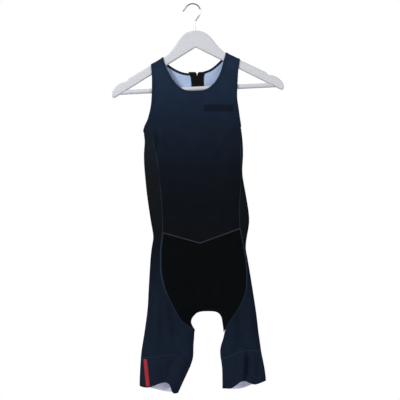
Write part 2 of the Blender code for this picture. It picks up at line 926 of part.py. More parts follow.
def back_body(name, half, neck, points, rows):
    edge = neck_edge(neck, BACK, -half.sign * PANEL_INSET, BACK_NECK_ROWS)
    inner = strap_edge(np.concatenate([edge[:-1], zip_edge(half)]), SHOULDER_TOP)
    outer = outer_edge(half, BACK, points, rows)
    grid = body_half(outer, inner, half, BACK, from_fold(HALF_COLUMNS))
    return cloth(name, [grid], WALL, "navy")


def across_height(table, share):
    return smooth([row.share for row in table], [row.z for row in table], share)


def leg_side(half, side, side_points, hip_points, rows, band_seam):
    """The front or back half of a side and leg piece, from its outer fold inwards."""
    offset = -half.sign * SEAM_GAP / 2
    seam = side_seam(half, side, side_points, rows, offset)
    hip = hip_seam(half, side, hip_points, rows, offset)
    seam = np.concatenate([seam, hip[1:]])
    horn = armhole_rows(half, side, PANEL_INSET)[ARMHOLE_ROWS:]
    horn[0] = seam[0]
    horn[1:, 1] -= UNDERARM_EASE
    fold_z = np.concatenate([
        horn[:, 1],
        np.linspace(rows.underarm_fold, rows.waist_fold, SIDE_ROWS + 1)[1:],
        np.linspace(rows.waist_fold, rows.hip, HIP_ROWS + 1)[1:],
        np.linspace(rows.hip, rows.horn, THIGH_ROWS + 1)[1:-1],
        [seam[-1, 1]],
    ])
    places = []
    for i, (start_z, end) in enumerate(zip(fold_z, seam)):
        share = thigh_shares(end[1], rows)
        z = start_z + (end[1] - start_z) * share
        start = half.fold(z)
        if i < HORN_ROWS:
            start = horn[i, 0]
        places.append(np.stack([start + (end[0] - start) * share, z, 0 * share], axis=1))
    share = fold_to_fold(LEG_COLUMNS)
    for step in np.linspace(0, 1, KNEE_ROWS + 1)[1:]:
        places.append(leg_row(half, share, seam[-1, 1], across_height(band_seam, share), step))
    return placed(np.array(places), side)


def thigh_shares(z, rows):
    """Shares across the leg, dense at both folds only where the piece reaches both."""
    inner = np.clip((rows.hip - z) / (rows.hip - rows.horn), 0, 1) ** 2
    return from_fold(LEG_COLUMNS) * (1 - inner) + fold_to_fold(LEG_COLUMNS) * inner


def leg_row(half, share, top, bottom, step):
    z = top + (bottom - top) * step
    x = half.fold(z) + (half.inner(z) - half.fold(z)) * share
    return np.stack([x, z, 0 * share], axis=1)


def facing(grid, half, side):
    """A grid that runs from the outer fold inwards, turned so that its rows run to its right."""
    return grid if (half is LEFT) == (side == FRONT) else grid[:, ::-1]


def side_leg(name, half, fronts, backs):
    grids = [
        facing(leg_side(half, FRONT, *fronts), half, FRONT),
        facing(leg_side(half, BACK, *backs), half, BACK),
    ]
    return cloth(name, grids, WALL, "side_navy")


def leg_band(name, half, front_seam, front_hem, back_seam, back_hem):
    share = fold_to_fold(LEG_COLUMNS)
    grids = []
    for side, seam, hem in ((FRONT, front_seam, front_hem), (BACK, back_seam, back_hem)):
        top = across_height(seam, share) - BAND_GAP
        bottom = across_height(hem, share)
        steps = even(BAND_ROWS)
        places = np.array([leg_row(half, share, top, bottom, step) for step in steps])
        grids.append(facing(placed(places, side), half, side))
    return cloth(name, grids, WALL, "band_navy")


def waist_row(left, middle, right, offset):
    """The top edge of a lower panel, from its left corner over its middle to its right corner."""
    shares = from_fold(HALF_COLUMNS)
    middle = np.array([middle[0], middle[1] + offset])
    near = between(left[None], middle[None], shares)[0]
    far = between(middle[None], right[None], 1 - shares[::-1])[0]
    return np.concatenate([near, far[1:]])


def crotch_row(left_z, right_z, columns):
    """The crotch and the inner legs beside it, between two heights."""
    steps = reach(GAP_CURVE)
    peak = CROTCH_INDEX
    start = np.interp(left_z, GAP_CURVE[:peak, 1], steps[:peak])
    end = np.interp(right_z, GAP_CURVE[peak:, 1][::-1], steps[peak:][::-1])
    at = np.linspace(start, end, columns + 1)
    return np.stack([np.interp(at, steps, column) for column in GAP_CURVE.T], axis=1)


def lower_panel(name, side, left_points, right_points, rows, middle, colour):
    left_rows, right_rows = rows
    left = hip_seam(LEFT, side, left_points, left_rows, SEAM_GAP / 2)
    right = hip_seam(RIGHT, side, right_points, right_rows, -SEAM_GAP / 2)
    left[0, 1] -= SEAM_GAP / 2
    right[0, 1] -= SEAM_GAP / 2
    top = waist_row(left[0], middle, right[0], -SEAM_GAP / 2)
    bottom = crotch_row(left[-1, 1], right[-1, 1], 2 * HALF_COLUMNS)
    left[-1], right[-1] = bottom[0], bottom[-1]
    places = coons(top, bottom, left, right)
    places = np.concatenate([places, np.zeros(places.shape[:2] + (1,))], axis=2)
    points = placed(places, side)
    points[-1, :, 1] = side * CROTCH_GAP / 2
    return cloth(name, [points if side == FRONT else points[:, ::-1]], WALL, colour)


def armhole_binding(name, half):
    """A closed ring round one armhole and over the strap's end."""
    stations = []
    for side in (FRONT, BACK):
        edge = strap_edge(armhole_rows(half, side, 0), 1)
        inner = strap_edge(armhole_rows(half, side, BINDING_WIDTH), 1)
        strip = placed(np.stack([edge, inner], axis=1), side)
        stations.append(strip if side == FRONT else strip[::-1])
    ring = np.concatenate([stations[0][:-1], stations[1]])
    ring[len(stations[0]) - 1, :, 1] = 0
    return cloth(name, [ring if half is LEFT else ring[:, ::-1]], BINDING_WALL, "binding")


def neck_strip(points, side, sign, rows):
    """One quarter of the neck binding: its inner line and its edge, from the strap's top down."""
    lines = [neck_edge(points, side, -sign * inset, rows) for inset in (BINDING_WIDTH, 0)]
    if side == FRONT:
        lines[0][-1] = [FRONT_CENTRE[0].x, FRONT_CENTRE[0].z + SEAM_GAP]
    return placed(np.stack([strap_edge(line, 1) for line in lines], axis=1), side)


def neck_binding():
    """One strip from the zip over the left strap, round the front and back to the zip."""
    back_left = neck_strip(BACK_NECK_LEFT, BACK, LEFT.sign, BACK_NECK_ROWS)[::-1]
    front_left = neck_strip(FRONT_NECK_LEFT, FRONT, LEFT.sign, NECK_ROWS)
    front_right = neck_strip(FRONT_NECK_RIGHT, FRONT, RIGHT.sign, NECK_ROWS)[::-1]
    back_right = neck_strip(BACK_NECK_RIGHT, BACK, RIGHT.sign, BACK_NECK_ROWS)
    strip = np.concatenate([back_left[:-1], front_left[:-1], front_right[:-1], back_right])
    return cloth("neck_binding", [strip], BINDING_WALL, "binding")


def zip_tape(name, half):
    """One of the zip's two tapes, behind the back panels' edges, flared at its top end."""
    heights = np.linspace(TAPE_TOP, ZIP_END - TAPE_TAIL, TAPE_ROWS + 1)
    heights[1] = TAPE_TOP - NOTCH_HEIGHT
    heights[2] = TAPE_TOP - FLARE_HEIGHT
    flare = np.clip(1 - (TAPE_TOP - heights) / FLARE_HEIGHT, 0, 1)
    notch = np.clip(1 - (TAPE_TOP - heights) / NOTCH_HEIGHT, 0, 1)
    inner = zip_x(heights) - half.sign * (SEAM_GAP / 2 + NOTCH_WIDTH * notch)
    outer = zip_x(heights) - half.sign * (TAPE_HALF + FLARE_WIDTH * flare)
    start = np.stack([inner, heights, 0 * heights], axis=1)
    end = np.stack([outer, heights, 0 * heights], axis=1)
    shares = even(TAPE_COLUMNS)
    places = between(start, end, shares) if half is LEFT else between(end, start, shares)
    grid = placed(places, BACK, SEAM_GAP + TAPE_SLACK)
    return cloth(name, [grid], TAPE_WALL, "tape", outwards=-1)


# Hard pieces

def group(name):
    if name in bpy.data.collections:
        return bpy.data.collections[name]
    made = bpy.data.collections.new(name)
    bpy.context.scene.collection.children.link(made)
    return made


def material(name):
    if name in bpy.data.materials:
        return bpy.data.materials[name]
    finish = FINISHES[name]
    made = bpy.data.materials.new(name)
    made.use_nodes = True
    shader = made.node_tree.nodes["Principled BSDF"]
    shader.inputs["Base Color"].default_value = finish.colour
    shader.inputs["Roughness"].default_value = finish.roughness
    shader.inputs["Metallic"].default_value = finish.metallic
    return made


def add_object(name, data, finish, frame=None):
    obj = bpy.data.objects.new(name, data)
    group("Parts").objects.link(obj)
    data.materials.append(material(finish))
    obj.parent = frame
    return obj


def add_frame(name, location, turn):
    """An empty that carries hard pieces built in their own upright frame."""
    frame = bpy.data.objects.new(name, None)
    group("Frames").objects.link(frame)
    frame.location = Vector(location) * MM
    frame.rotation_euler = turn
    return frame


def combine(target, tool, operation):
    """Join a helper solid to a piece, or cut it out."""
    group("Parts").objects.unlink(tool)
    group("Helpers").objects.link(tool)
    tool.hide_render = True
    tool.display_type = "WIRE"
    step = target.modifiers.new(tool.name, "BOOLEAN")
    step.operation = operation
    step.solver = "EXACT"
    step.object = tool


def finished(build, name, finish, frame):
    mesh = bpy.data.meshes.new(name)
    bmesh.ops.recalc_face_normals(build, faces=build.faces)
    build.to_mesh(mesh)
    build.free()
    mesh.shade_smooth()
    mesh.set_sharp_from_angle(angle=SHARP_ANGLE)
    return add_object(name, mesh, finish, frame)


def cylinder(name, radius, length, centre, finish, frame, along_x=False):
    build = bmesh.new()
    bmesh.ops.create_cone(
        build, cap_ends=True, segments=ROUND_SEGMENTS, radius1=radius, radius2=radius, depth=length
    )
    if along_x:
        bmesh.ops.rotate(build, verts=build.verts, matrix=Matrix.Rotation(math.pi / 2, 3, "Y"))
    bmesh.ops.translate(build, verts=build.verts, vec=centre)
    bmesh.ops.scale(build, verts=build.verts, vec=(MM, MM, MM))
    return finished(build, name, finish, frame)


def box(name, size, centre, finish, frame):
    build = bmesh.new()
    bmesh.ops.create_cube(build, size=1)
    bmesh.ops.scale(build, verts=build.verts, vec=size)
    bmesh.ops.translate(build, verts=build.verts, vec=centre)
    bmesh.ops.scale(build, verts=build.verts, vec=(MM, MM, MM))
    return finished(build, name, finish, frame)


def stacked(name, rings, finish, frame):
    """A solid between a first and a last ring of (x, y, z) points, through those between."""
    build = bmesh.new()
    loops = [[build.verts.new(Vector(p) * MM) for p in ring.tolist()] for ring in rings]
    for near, far in zip(loops[:-1], loops[1:]):
        for i in range(len(near)):
            j = (i + 1) % len(near)
            build.faces.new((near[i], near[j], far[j], far[i]))
    build.faces.new(loops[0])
    build.faces.new(loops[-1])
    return finished(build, name, finish, frame)


def ring_at(outline, y):
    return np.stack([outline[:, 0], np.full(len(outline), y), outline[:, 1]], axis=1)


def hanger_outline():
    """The wooden body seen from the front, once round from the middle of its top edge."""
    shoulder = along(HANGER_SHOULDER, SHOULDER_STEPS)
    tip = along([HangerPoint(*shoulder[-1])] + HANGER_TIP, TIP_STEPS)[1:]
    right = np.concatenate([shoulder, tip])
    left = right[:0:-1] * [-1, 1]
    ring = np.concatenate([right, [[0, UNDERSIDE_APEX]], left])
    return ring * [1, -1] + [HANGER_CENTRE, HANGER_TOP]


def inset_ring(ring, distance):
    """A clockwise ring drawn in by a distance."""
    ahead = np.roll(ring, -1, axis=0) - np.roll(ring, 1, axis=0)
    ahead /= np.linalg.norm(ahead, axis=1, keepdims=True)
    return ring + distance * np.stack([ahead[:, 1], -ahead[:, 0]], axis=1)


def hanger_body(frame):
    outline = hanger_outline()
    turns = np.linspace(0, math.pi / 2, WOOD_STEPS + 1)
    rings = []
    for side, order in ((FRONT, turns[::-1]), (BACK, turns)):
        for turn in order:
            y = side * (ROLL_FLAT + WOOD_ROUNDING * math.sin(turn))
            rings.append(ring_at(inset_ring(outline, WOOD_ROUNDING * (1 - math.cos(turn))), y))
    body = stacked("hanger_body", rings, "white_paint", frame)
    centre = (HANGER_CENTRE, 0, HANGER_TOP)
    bore = cylinder("hook_bore", WIRE_RADIUS + SEAM_GAP, 2 * BORE_DEPTH, centre, "steel", frame)
    combine(body, bore, "DIFFERENCE")
    return body


def hanger_bar(frame):
    """The trouser bar, its ends cut to the slope of the arms' undersides."""
    centre = (HANGER_CENTRE, 0, HANGER_TOP - BAR_DROP)
    bar = cylinder("hanger_bar", BAR_RADIUS, 1, centre, "white_paint", frame, along_x=True)
    for vertex in bar.data.vertices:
        drop = HANGER_TOP - vertex.co.z / MM
        end = (drop - UNDERSIDE_APEX) / UNDERSIDE_SLOPE - BAR_END_GAP
        vertex.co.x = (HANGER_CENTRE + math.copysign(end, vertex.co.x / MM - HANGER_CENTRE)) * MM
    return bar


def hook_route():
    """The wire's centreline: a straight tip, a round hook, a run back and a bend into the wood."""
    angles = np.radians(np.linspace(HOOK_END_ANGLE, HOOK_LOW_ANGLE, HOOK_STEPS + 1))
    ring = np.stack([np.cos(angles), np.sin(angles)], axis=1) * HOOK_RADIUS
    ring = ring + [0, WIRE_RADIUS - HOOK_RADIUS]
    tip = ring[0] + HOOK_TIP * np.array([-math.sin(angles[0]), math.cos(angles[0])])
    heading = np.array([math.sin(angles[-1]), -math.cos(angles[-1])])
    run_end = ring[-1] + HOOK_RUN * heading
    centre = run_end + HOOK_BEND * np.array([-heading[1], heading[0]])
    turns = np.linspace(math.pi + angles[-1], math.pi, BEND_STEPS + 1)
    bend = centre + HOOK_BEND * np.stack([np.cos(turns), np.sin(turns)], axis=1)
    foot = [bend[-1, 0], HANGER_TOP - BORE_DEPTH + SEAM_GAP]
    return np.concatenate([[tip], ring, bend, [foot]])


def hanger_hook(frame):
    route = hook_route()
    wire = bpy.data.curves.new("hanger_hook", "CURVE")
    wire.dimensions = "3D"
    wire.bevel_depth = WIRE_RADIUS * MM
    wire.bevel_resolution = WIRE_BEVEL_STEPS
    wire.use_fill_caps = True
    spline = wire.splines.new("POLY")
    spline.points.add(len(route) - 1)
    for point, (x, z) in zip(spline.points, route * MM):
        point.co = (x, 0, z, 1)
    return add_object("hanger_hook", wire, "steel", frame)


def zip_slider(frame):
    outline = np.array(SLIDER_OUTLINE)
    small = inset_ring(outline, SMALL_BEVEL)
    near, far = SMALL_BEVEL, SLIDER_THICKNESS - SMALL_BEVEL
    rings = [ring_at(small, 0), ring_at(outline, near), ring_at(outline, far)]
    rings.append(ring_at(small, SLIDER_THICKNESS))
    slider = stacked("zip_slider", rings, "zip_metal", frame)
    for sign in (-1, 1):
        centre = (sign * LUG_SPREAD, SLIDER_THICKNESS - LUG_SINK + LUG_SIZE[1] / 2, PIN_RISE)
        lug = box("slider_lug", LUG_SIZE, centre, "zip_metal", frame)
        combine(slider, lug, "UNION")
    pin = (0, SLIDER_THICKNESS + PIN_STAND, PIN_RISE)
    hole = cylinder("pin_hole", PIN_HOLE_RADIUS, SLIDER_WIDTH, pin, "zip_metal", frame, along_x=True)
    combine(slider, hole, "DIFFERENCE")
    return slider


def zip_pull_tab(frame):
    """The tab, with the pin that turns in the slider's lugs."""
    pin = np.array([0, SLIDER_THICKNESS + PIN_STAND, PIN_RISE])
    outline = np.array(TAB_OUTLINE) + [0, PIN_RISE]
    rings = [ring_at(outline, pin[1] + side * TAB_THICKNESS / 2) for side in (FRONT, BACK)]
    tab = stacked("zip_pull_tab", rings, "zip_metal", frame)
    length = 2 * PIN_HALF_LENGTH
    axle = cylinder("tab_axle", PIN_RADIUS, length, tuple(pin), "zip_metal", frame, along_x=True)
    combine(tab, axle, "UNION")
    return tab


def slider_frame():
    x = float(zip_x(SLIDER_HEIGHT))
    half = SLIDER_LENGTH / 2
    places = np.array([SLIDER_HEIGHT + half, SLIDER_HEIGHT - half])
    upper, lower = depth(np.array([x, x]), places, BACK)
    y = (upper + lower) / 2
    lean = math.atan2(lower - upper, 2 * half)
    return add_frame("slider_frame", (x, y, SLIDER_HEIGHT), (lean, 0, 0))


def suit():
    front_body()
    back_body("back_left", LEFT, BACK_NECK_LEFT, SIDE_BACK_LEFT, LEFT_BACK_ROWS)
    back_body("back_right", RIGHT, BACK_NECK_RIGHT, SIDE_BACK_RIGHT, RIGHT_BACK_ROWS)
    side_leg(
        "side_leg_left",
        LEFT,
        (SIDE_FRONT_LEFT, BRIEF_LEFT, LEFT_ROWS, BAND_SEAM_LEFT),
        (SIDE_BACK_LEFT, SEAT_LEFT, LEFT_BACK_ROWS, BACK_SEAM_LEFT),
    )
    side_leg(
        "side_leg_right",
        RIGHT,
        (SIDE_FRONT_RIGHT, BRIEF_RIGHT, RIGHT_ROWS, BAND_SEAM_RIGHT),
        (SIDE_BACK_RIGHT, SEAT_RIGHT, RIGHT_BACK_ROWS, BACK_SEAM_RIGHT),
    )
    front_rows, back_rows = (LEFT_ROWS, RIGHT_ROWS), (LEFT_BACK_ROWS, RIGHT_BACK_ROWS)
    front_middle, back_middle = FRONT_CENTRE[-1], ZIP_LINE[-1]
    lower_panel("front_brief", FRONT, BRIEF_LEFT, BRIEF_RIGHT, front_rows, front_middle, "brief_black")
    lower_panel("back_seat", BACK, SEAT_LEFT, SEAT_RIGHT, back_rows, back_middle, "seat_black")
    leg_band("leg_band_left", LEFT, BAND_SEAM_LEFT, FRONT_HEM_LEFT, BACK_SEAM_LEFT, BACK_HEM_LEFT)
    leg_band("leg_band_right", RIGHT, BAND_SEAM_RIGHT, FRONT_HEM_RIGHT, BACK_SEAM_RIGHT, BACK_HEM_RIGHT)
    neck_binding()
    armhole_binding("armhole_binding_left", LEFT)
    armhole_binding("armhole_binding_right", RIGHT)
    zip_tape("zip_tape_left", LEFT)
    zip_tape("zip_tape_right", RIGHT)


def main():
    for obj in list(bpy.data.objects):
        bpy.data.objects.remove(obj)
    suit()
    slider = slider_frame()
    zip_slider(slider)
    zip_pull_tab(slider)
    hanger = add_frame("hanger_frame", (0, 0, 0), (0, -TILT, 0))
    hanger_body(hanger)
    hanger_bar(hanger)
    hanger_hook(hanger)


main()
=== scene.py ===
"""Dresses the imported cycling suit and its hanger: cloth shells, seams, zip teeth, prints, light.

Lengths in the tables are millimetres in the frame of the part: X to the viewer's right,
Y away from the viewer, Z up, with the origin at the inside top of the hook.
"""

import math
from collections import namedtuple

import bmesh
import bpy
import numpy as np
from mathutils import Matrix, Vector
from mathutils.bvhtree import BVHTree
from mathutils.kdtree import KDTree


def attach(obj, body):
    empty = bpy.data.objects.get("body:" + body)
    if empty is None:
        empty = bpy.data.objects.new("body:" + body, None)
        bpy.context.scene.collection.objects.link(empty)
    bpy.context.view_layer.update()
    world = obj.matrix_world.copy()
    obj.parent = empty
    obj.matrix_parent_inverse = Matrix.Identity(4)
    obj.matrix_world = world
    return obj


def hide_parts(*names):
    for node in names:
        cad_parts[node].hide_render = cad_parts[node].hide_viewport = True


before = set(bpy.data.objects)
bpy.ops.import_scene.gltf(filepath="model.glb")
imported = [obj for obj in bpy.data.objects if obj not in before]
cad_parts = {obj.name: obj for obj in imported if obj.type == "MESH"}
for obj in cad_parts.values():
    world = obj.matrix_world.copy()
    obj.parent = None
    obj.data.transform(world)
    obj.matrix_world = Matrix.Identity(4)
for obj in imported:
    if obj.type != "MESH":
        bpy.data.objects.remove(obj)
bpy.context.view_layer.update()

MM = 0.001
TINY = 1e-12
FRONT, BACK = -1, 1
RAY_START = 200.0

# Cloth shells: thicknesses, corners that smoothing keeps, and angles that count as an edge
CLOTH_THICKNESS = 1.0
THICKNESS = {"binding": 1.7, "tape": 0.8}
SMOOTHING_LEVELS = 2
WELD_DISTANCE = 1e-6
SHARP_CORNERS = [(20.0, -617.5), (20.0, -589.0), (20.0, -550.0)]
CORNER_REACH = 1.5
RIM_ANGLE = math.radians(55)
BAND_RIM_ANGLE = math.radians(66)
QUAD_FACE_ANGLE = math.radians(40)
QUAD_SHAPE_ANGLE = math.radians(120)
WOOD_ANGLE = math.radians(35)
HEM_ANGLE = math.radians(50)

# Creases: where they fade out, and the shape of each one in shares of its width and lift
FADE_TOP = -165.0
FADE_LENGTH = 60.0
EDGE_FADE = 8.0
END_FADE = 1 / 3
BEND_WIDTH = 0.6
BEND_TURNS = 1.3
HOLLOW_OFFSET = 1.8
HOLLOW_DEPTH = 0.35

# Seam strips: the profile is (across, height) in shares of a seam's width and rise
PROFILE = [(-0.5, -1.0), (-0.5, 0.15), (-0.3, 0.8), (0.0, 1.0), (0.3, 0.8), (0.5, 0.15), (0.5, -1.0)]
SEAM_REACH = 3.2
SEAM_MIN_POINTS = 6
FINER_STEPS = 4
SEAM_OVERRUN = 1.4
UNDERARM_OVERRUN = 3.4
STITCH_PITCH = 2.4
SEAM_SINK = 0.5

# Zip teeth
TOOTH_PITCH = 1.6
TOOTH_SIZE = (3.0, 1.0, 0.8)
TOOTH_SHIFT = 0.6
TOOTH_LIFT = 0.45
TOOTH_BEVEL = 0.2
TAPE_ASIDE = 1.5
TEETH_TOP = -197.0
TEETH_END = -532.0
MIDDLE_MARGIN = 15.0
MIDDLE_STEP = 12.0
MIDDLE_WINDOW = 14.0

# Camera and light
CAMERA_PLACE = (0.0197, -2.2, -0.5067)
CAMERA_ANGLE = math.radians(26.5)
LIGHT_BELOW = 0.13
LIGHT_ABOVE = 0.46
Light = namedtuple("Light", "name place size power")
LIGHTS = [
    Light("key", (-1.6, -2.0, 0.7), 0.8, 58),
    Light("fill", (1.5, -1.9, 0.1), 1.2, 16),
    Light("back", (0.2, 2.2, 0.3), 1.6, 14),
]
LIGHT_TARGET = Vector((0, 0, -0.55))
FLOOR_HEIGHT = -1.35
FLOOR_RADIUS = 1.2
FLOOR_COLOUR = (238, 238, 240)

# Widths and lengths of the flat cloths are metres, and areas square metres.
Cloth = namedtuple("Cloth", "node fabric slot width length area hangs_from")
CLOTHS = [
    Cloth("front_body", "body", "navy", 0.260, 0.500, 0.0872, "hanger_body"),
    Cloth("back_left", "back", "navy", 0.155, 0.470, 0.0480, "hanger_body"),
    Cloth("back_right", "back", "navy", 0.125, 0.475, 0.0385, "hanger_body"),
    Cloth("side_leg_left", "leg", "side_navy", 0.250, 0.635, 0.0668, "front_body_cloth"),
    Cloth("side_leg_right", "leg", "side_navy", 0.218, 0.627, 0.0467, "front_body_cloth"),
    Cloth("front_brief", "brief", "brief_black", 0.225, 0.265, 0.0435, "front_body_cloth"),
    Cloth("back_seat", "seat", "seat_black", 0.225, 0.265, 0.0440, "back_left_cloth"),
    Cloth("leg_band_left", "band", "band_navy", 0.250, 0.100, 0.0203, "side_leg_left_cloth"),
    Cloth("leg_band_right", "band", "band_navy", 0.225, 0.100, 0.0207, "side_leg_right_cloth"),
    Cloth("zip_tape_left", "tape", "tape", 0.024, 0.380, 0.0064, "back_left_cloth"),
    Cloth("zip_tape_right", "tape", "tape", 0.024, 0.380, 0.0064, "back_right_cloth"),
    Cloth("neck_binding", "binding", "binding", 0.010, 0.500, 0.0038, "hanger_body"),
    Cloth("armhole_binding_left", "binding", "binding", 0.010, 0.380, 0.0029, "hanger_body"),
    Cloth("armhole_binding_right", "binding", "binding", 0.010, 0.380, 0.0029, "hanger_body"),
]

Seam = namedtuple("Seam", "first second width rise thread overrun", defaults=[SEAM_OVERRUN])
SEAMS = [
    Seam("front_body", "side_leg_left", 2.0, 0.35, "seam_side", UNDERARM_OVERRUN),
    Seam("front_body", "side_leg_right", 2.0, 0.35, "seam_side", UNDERARM_OVERRUN),
    Seam("front_brief", "front_body", 2.4, 0.45, "seam_waist"),
    Seam("front_brief", "side_leg_left", 4.6, 0.45, "seam_side"),
    Seam("front_brief", "side_leg_right", 3.4, 0.45, "seam_side"),
    Seam("front_brief", "back_seat", 2.0, 0.35, "seam_side"),
    Seam("back_left", "side_leg_left", 2.0, 0.35, "seam_side", UNDERARM_OVERRUN),
    Seam("back_right", "side_leg_right", 2.0, 0.35, "seam_side", UNDERARM_OVERRUN),
    Seam("back_seat", "side_leg_left", 3.4, 0.45, "seam_side"),
    Seam("back_seat", "side_leg_right", 3.4, 0.45, "seam_side"),
    Seam("back_left", "back_seat", 2.4, 0.45, "seam_waist"),
    Seam("back_right", "back_seat", 2.4, 0.45, "seam_waist"),
    Seam("back_left", "back_right", 3.0, 0.35, "seam_side"),
    Seam("leg_band_left", "side_leg_left", 2.0, 0.4, "seam_band"),
    Seam("leg_band_right", "side_leg_right", 2.0, 0.4, "seam_band"),
    Seam("front_body", "neck_binding", 1.6, 0.3, "seam_binding"),
    Seam("back_left", "neck_binding", 1.6, 0.3, "seam_binding"),
    Seam("back_right", "neck_binding", 1.6, 0.3, "seam_binding"),
    Seam("front_body", "armhole_binding_left", 2.0, 0.3, "seam_binding", UNDERARM_OVERRUN),
    Seam("front_body", "armhole_binding_right", 2.0, 0.3, "seam_binding", UNDERARM_OVERRUN),
    Seam("back_left", "armhole_binding_left", 2.0, 0.3, "seam_binding", UNDERARM_OVERRUN),
    Seam("back_right", "armhole_binding_right", 2.0, 0.3, "seam_binding", UNDERARM_OVERRUN),
    Seam("side_leg_left", "armhole_binding_left", 2.0, 0.3, "seam_binding", UNDERARM_OVERRUN),
    Seam("side_leg_right", "armhole_binding_right", 2.0, 0.3, "seam_binding", UNDERARM_OVERRUN),
]

# Creases, listed one by one: ridges (lift above 0) and valleys (below 0), from one end to the other.
Crease = namedtuple("Crease", "side x0 z0 x1 z1 width lift")
CREASES = [
    Crease(FRONT, -86, -318, -70, -378, 5, 3.2),
    Crease(FRONT, -76, -322, -58, -396, 5, -3.2),
    Crease(FRONT, -104, -372, -66, -418, 7, 1.5),
    Crease(FRONT, 108, -300, 74, -372, 7, 1.7),
    Crease(FRONT, 100, -330, 58, -408, 8, -1.7),
    Crease(FRONT, -60, -236, -12, -252, 7, 1.4),
    Crease(FRONT, 62, -232, 18, -256, 8, -1.4),
    Crease(FRONT, -50, -440, 40, -470, 16, 1.5),
    Crease(FRONT, -40, -478, 70, -500, 14, -1.5),
    Crease(FRONT, -70, -540, 10, -566, 9, -1.7),
    Crease(FRONT, 98, -530, 40, -570, 9, 1.9),
    Crease(FRONT, 110, -552, 60, -590, 7, -1.5),
    Crease(FRONT, -90, -590, -50, -628, 8, -1.9),
    Crease(FRONT, 118, -600, 76, -640, 8, -1.7),
    Crease(FRONT, -30, -690, -4, -772, 9, 2.0),
    Crease(FRONT, -12, -700, 18, -778, 8, -2.2),
    Crease(FRONT, 74, -700, 56, -776, 9, 1.9),
    Crease(FRONT, 92, -712, 74, -790, 8, -2.0),
    Crease(FRONT, 30, -640, 34, -770, 12, 1.5),
    Crease(FRONT, -95, -725, -98, -904, 11, 5.0),
    Crease(FRONT, -52, -725, -49, -908, 9, -5.6),
    Crease(FRONT, -14, -828, -12, -925, 13, 4.4),
    Crease(FRONT, 146, -740, 160, -890, 10, 4.2),
    Crease(FRONT, 122, -760, 132, -892, 9, -4.2),
    Crease(FRONT, 100, -830, 98, -908, 7, 2.6),
    Crease(FRONT, -92, -918, -96, -985, 8, 1.7),
    Crease(FRONT, -72, -915, -78, -978, 6, -1.9),
    Crease(FRONT, -20, -930, -30, -992, 6, -1.8),
    Crease(FRONT, 151, -900, 153, -974, 8, 3.2),
    Crease(FRONT, 96, -918, 92, -985, 7, -1.7),
    Crease(FRONT, 170, -905, 174, -970, 7, -1.5),
    Crease(FRONT, 138.5, -885, 139, -990, 4.6, -8.6),
    Crease(FRONT, 125, -898, 123, -980, 6, 3.0),
    Crease(FRONT, -62, -990, -52, -900, 8, -5.6),
    Crease(FRONT, -32, -996, -20, -912, 10, 5.2),
    Crease(FRONT, -93, -330, -86, -398, 5, -3.4),
    Crease(FRONT, -108, -325, -98, -352, 5, 1.8),
    Crease(BACK, -80, -330, -40, -398, 8, 2.0),
    Crease(BACK, -70, -360, -30, -420, 8, -1.9),
    Crease(BACK, 98, -320, 60, -392, 8, -1.9),
    Crease(BACK, 104, -372, 62, -430, 9, 1.7),
    Crease(BACK, -60, -470, 4, -500, 12, -1.5),
    Crease(BACK, 34, -470, 90, -494, 12, 1.5),
    Crease(BACK, -60, -545, -6, -570, 9, 1.7),
    Crease(BACK, 96, -548, 44, -574, 9, -1.7),
    Crease(BACK, -60, -620, -18, -690, 11, 2.2),
    Crease(BACK, 98, -620, 60, -700, 11, 2.2),
    Crease(BACK, -10, -690, 6, -780, 9, -2.2),
    Crease(BACK, 48, -690, 40, -780, 9, -2.0),
    Crease(BACK, -96, -740, -98, -890, 9, -2.2),
    Crease(BACK, -52, -810, -40, -905, 8, -2.0),
    Crease(BACK, 150, -740, 160, -880, 10, 2.0),
    Crease(BACK, 108, -830, 106, -905, 8, 1.9),
    Crease(BACK, -84, -920, -92, -990, 8, -1.9),
    Crease(BACK, -38, -930, -46, -1000, 7, 1.7),
    Crease(BACK, 118, -910, 116, -985, 8, -1.9),
    Crease(BACK, 158, -905, 162, -975, 8, 1.7),
]

# Slow waves over the whole cloth.
Wave = namedtuple("Wave", "across down phase height")
WAVES = [
    Wave(0.031, 0.013, 0.4, 0.45),
    Wave(-0.024, 0.027, 1.9, 0.35),
    Wave(0.052, -0.019, 4.1, 0.22),
]

Print = namedtuple("Print", "name target side corners columns rows ink")
# Corners: upper left, upper right, lower right, lower left, as (x, z).
PRINTS = [
    Print(
        "red_strip",
        "leg_band_left",
        FRONT,
        [(-126.1, -917.0), (-117.3, -917.0), (-109.2, -986.5), (-119.6, -986.5)],
        6,
        30,
        "red_ink",
    ),
    Print(
        "chest_bar",
        "front_body",
        FRONT,
        [(30.1, -261.4), (105.4, -261.4), (105.4, -278.3), (30.1, -278.3)],
        36,
        10,
        "dark_ink",
    ),
]
PRINT_RISE = 0.25
PRINT_THICKNESS = 0.2

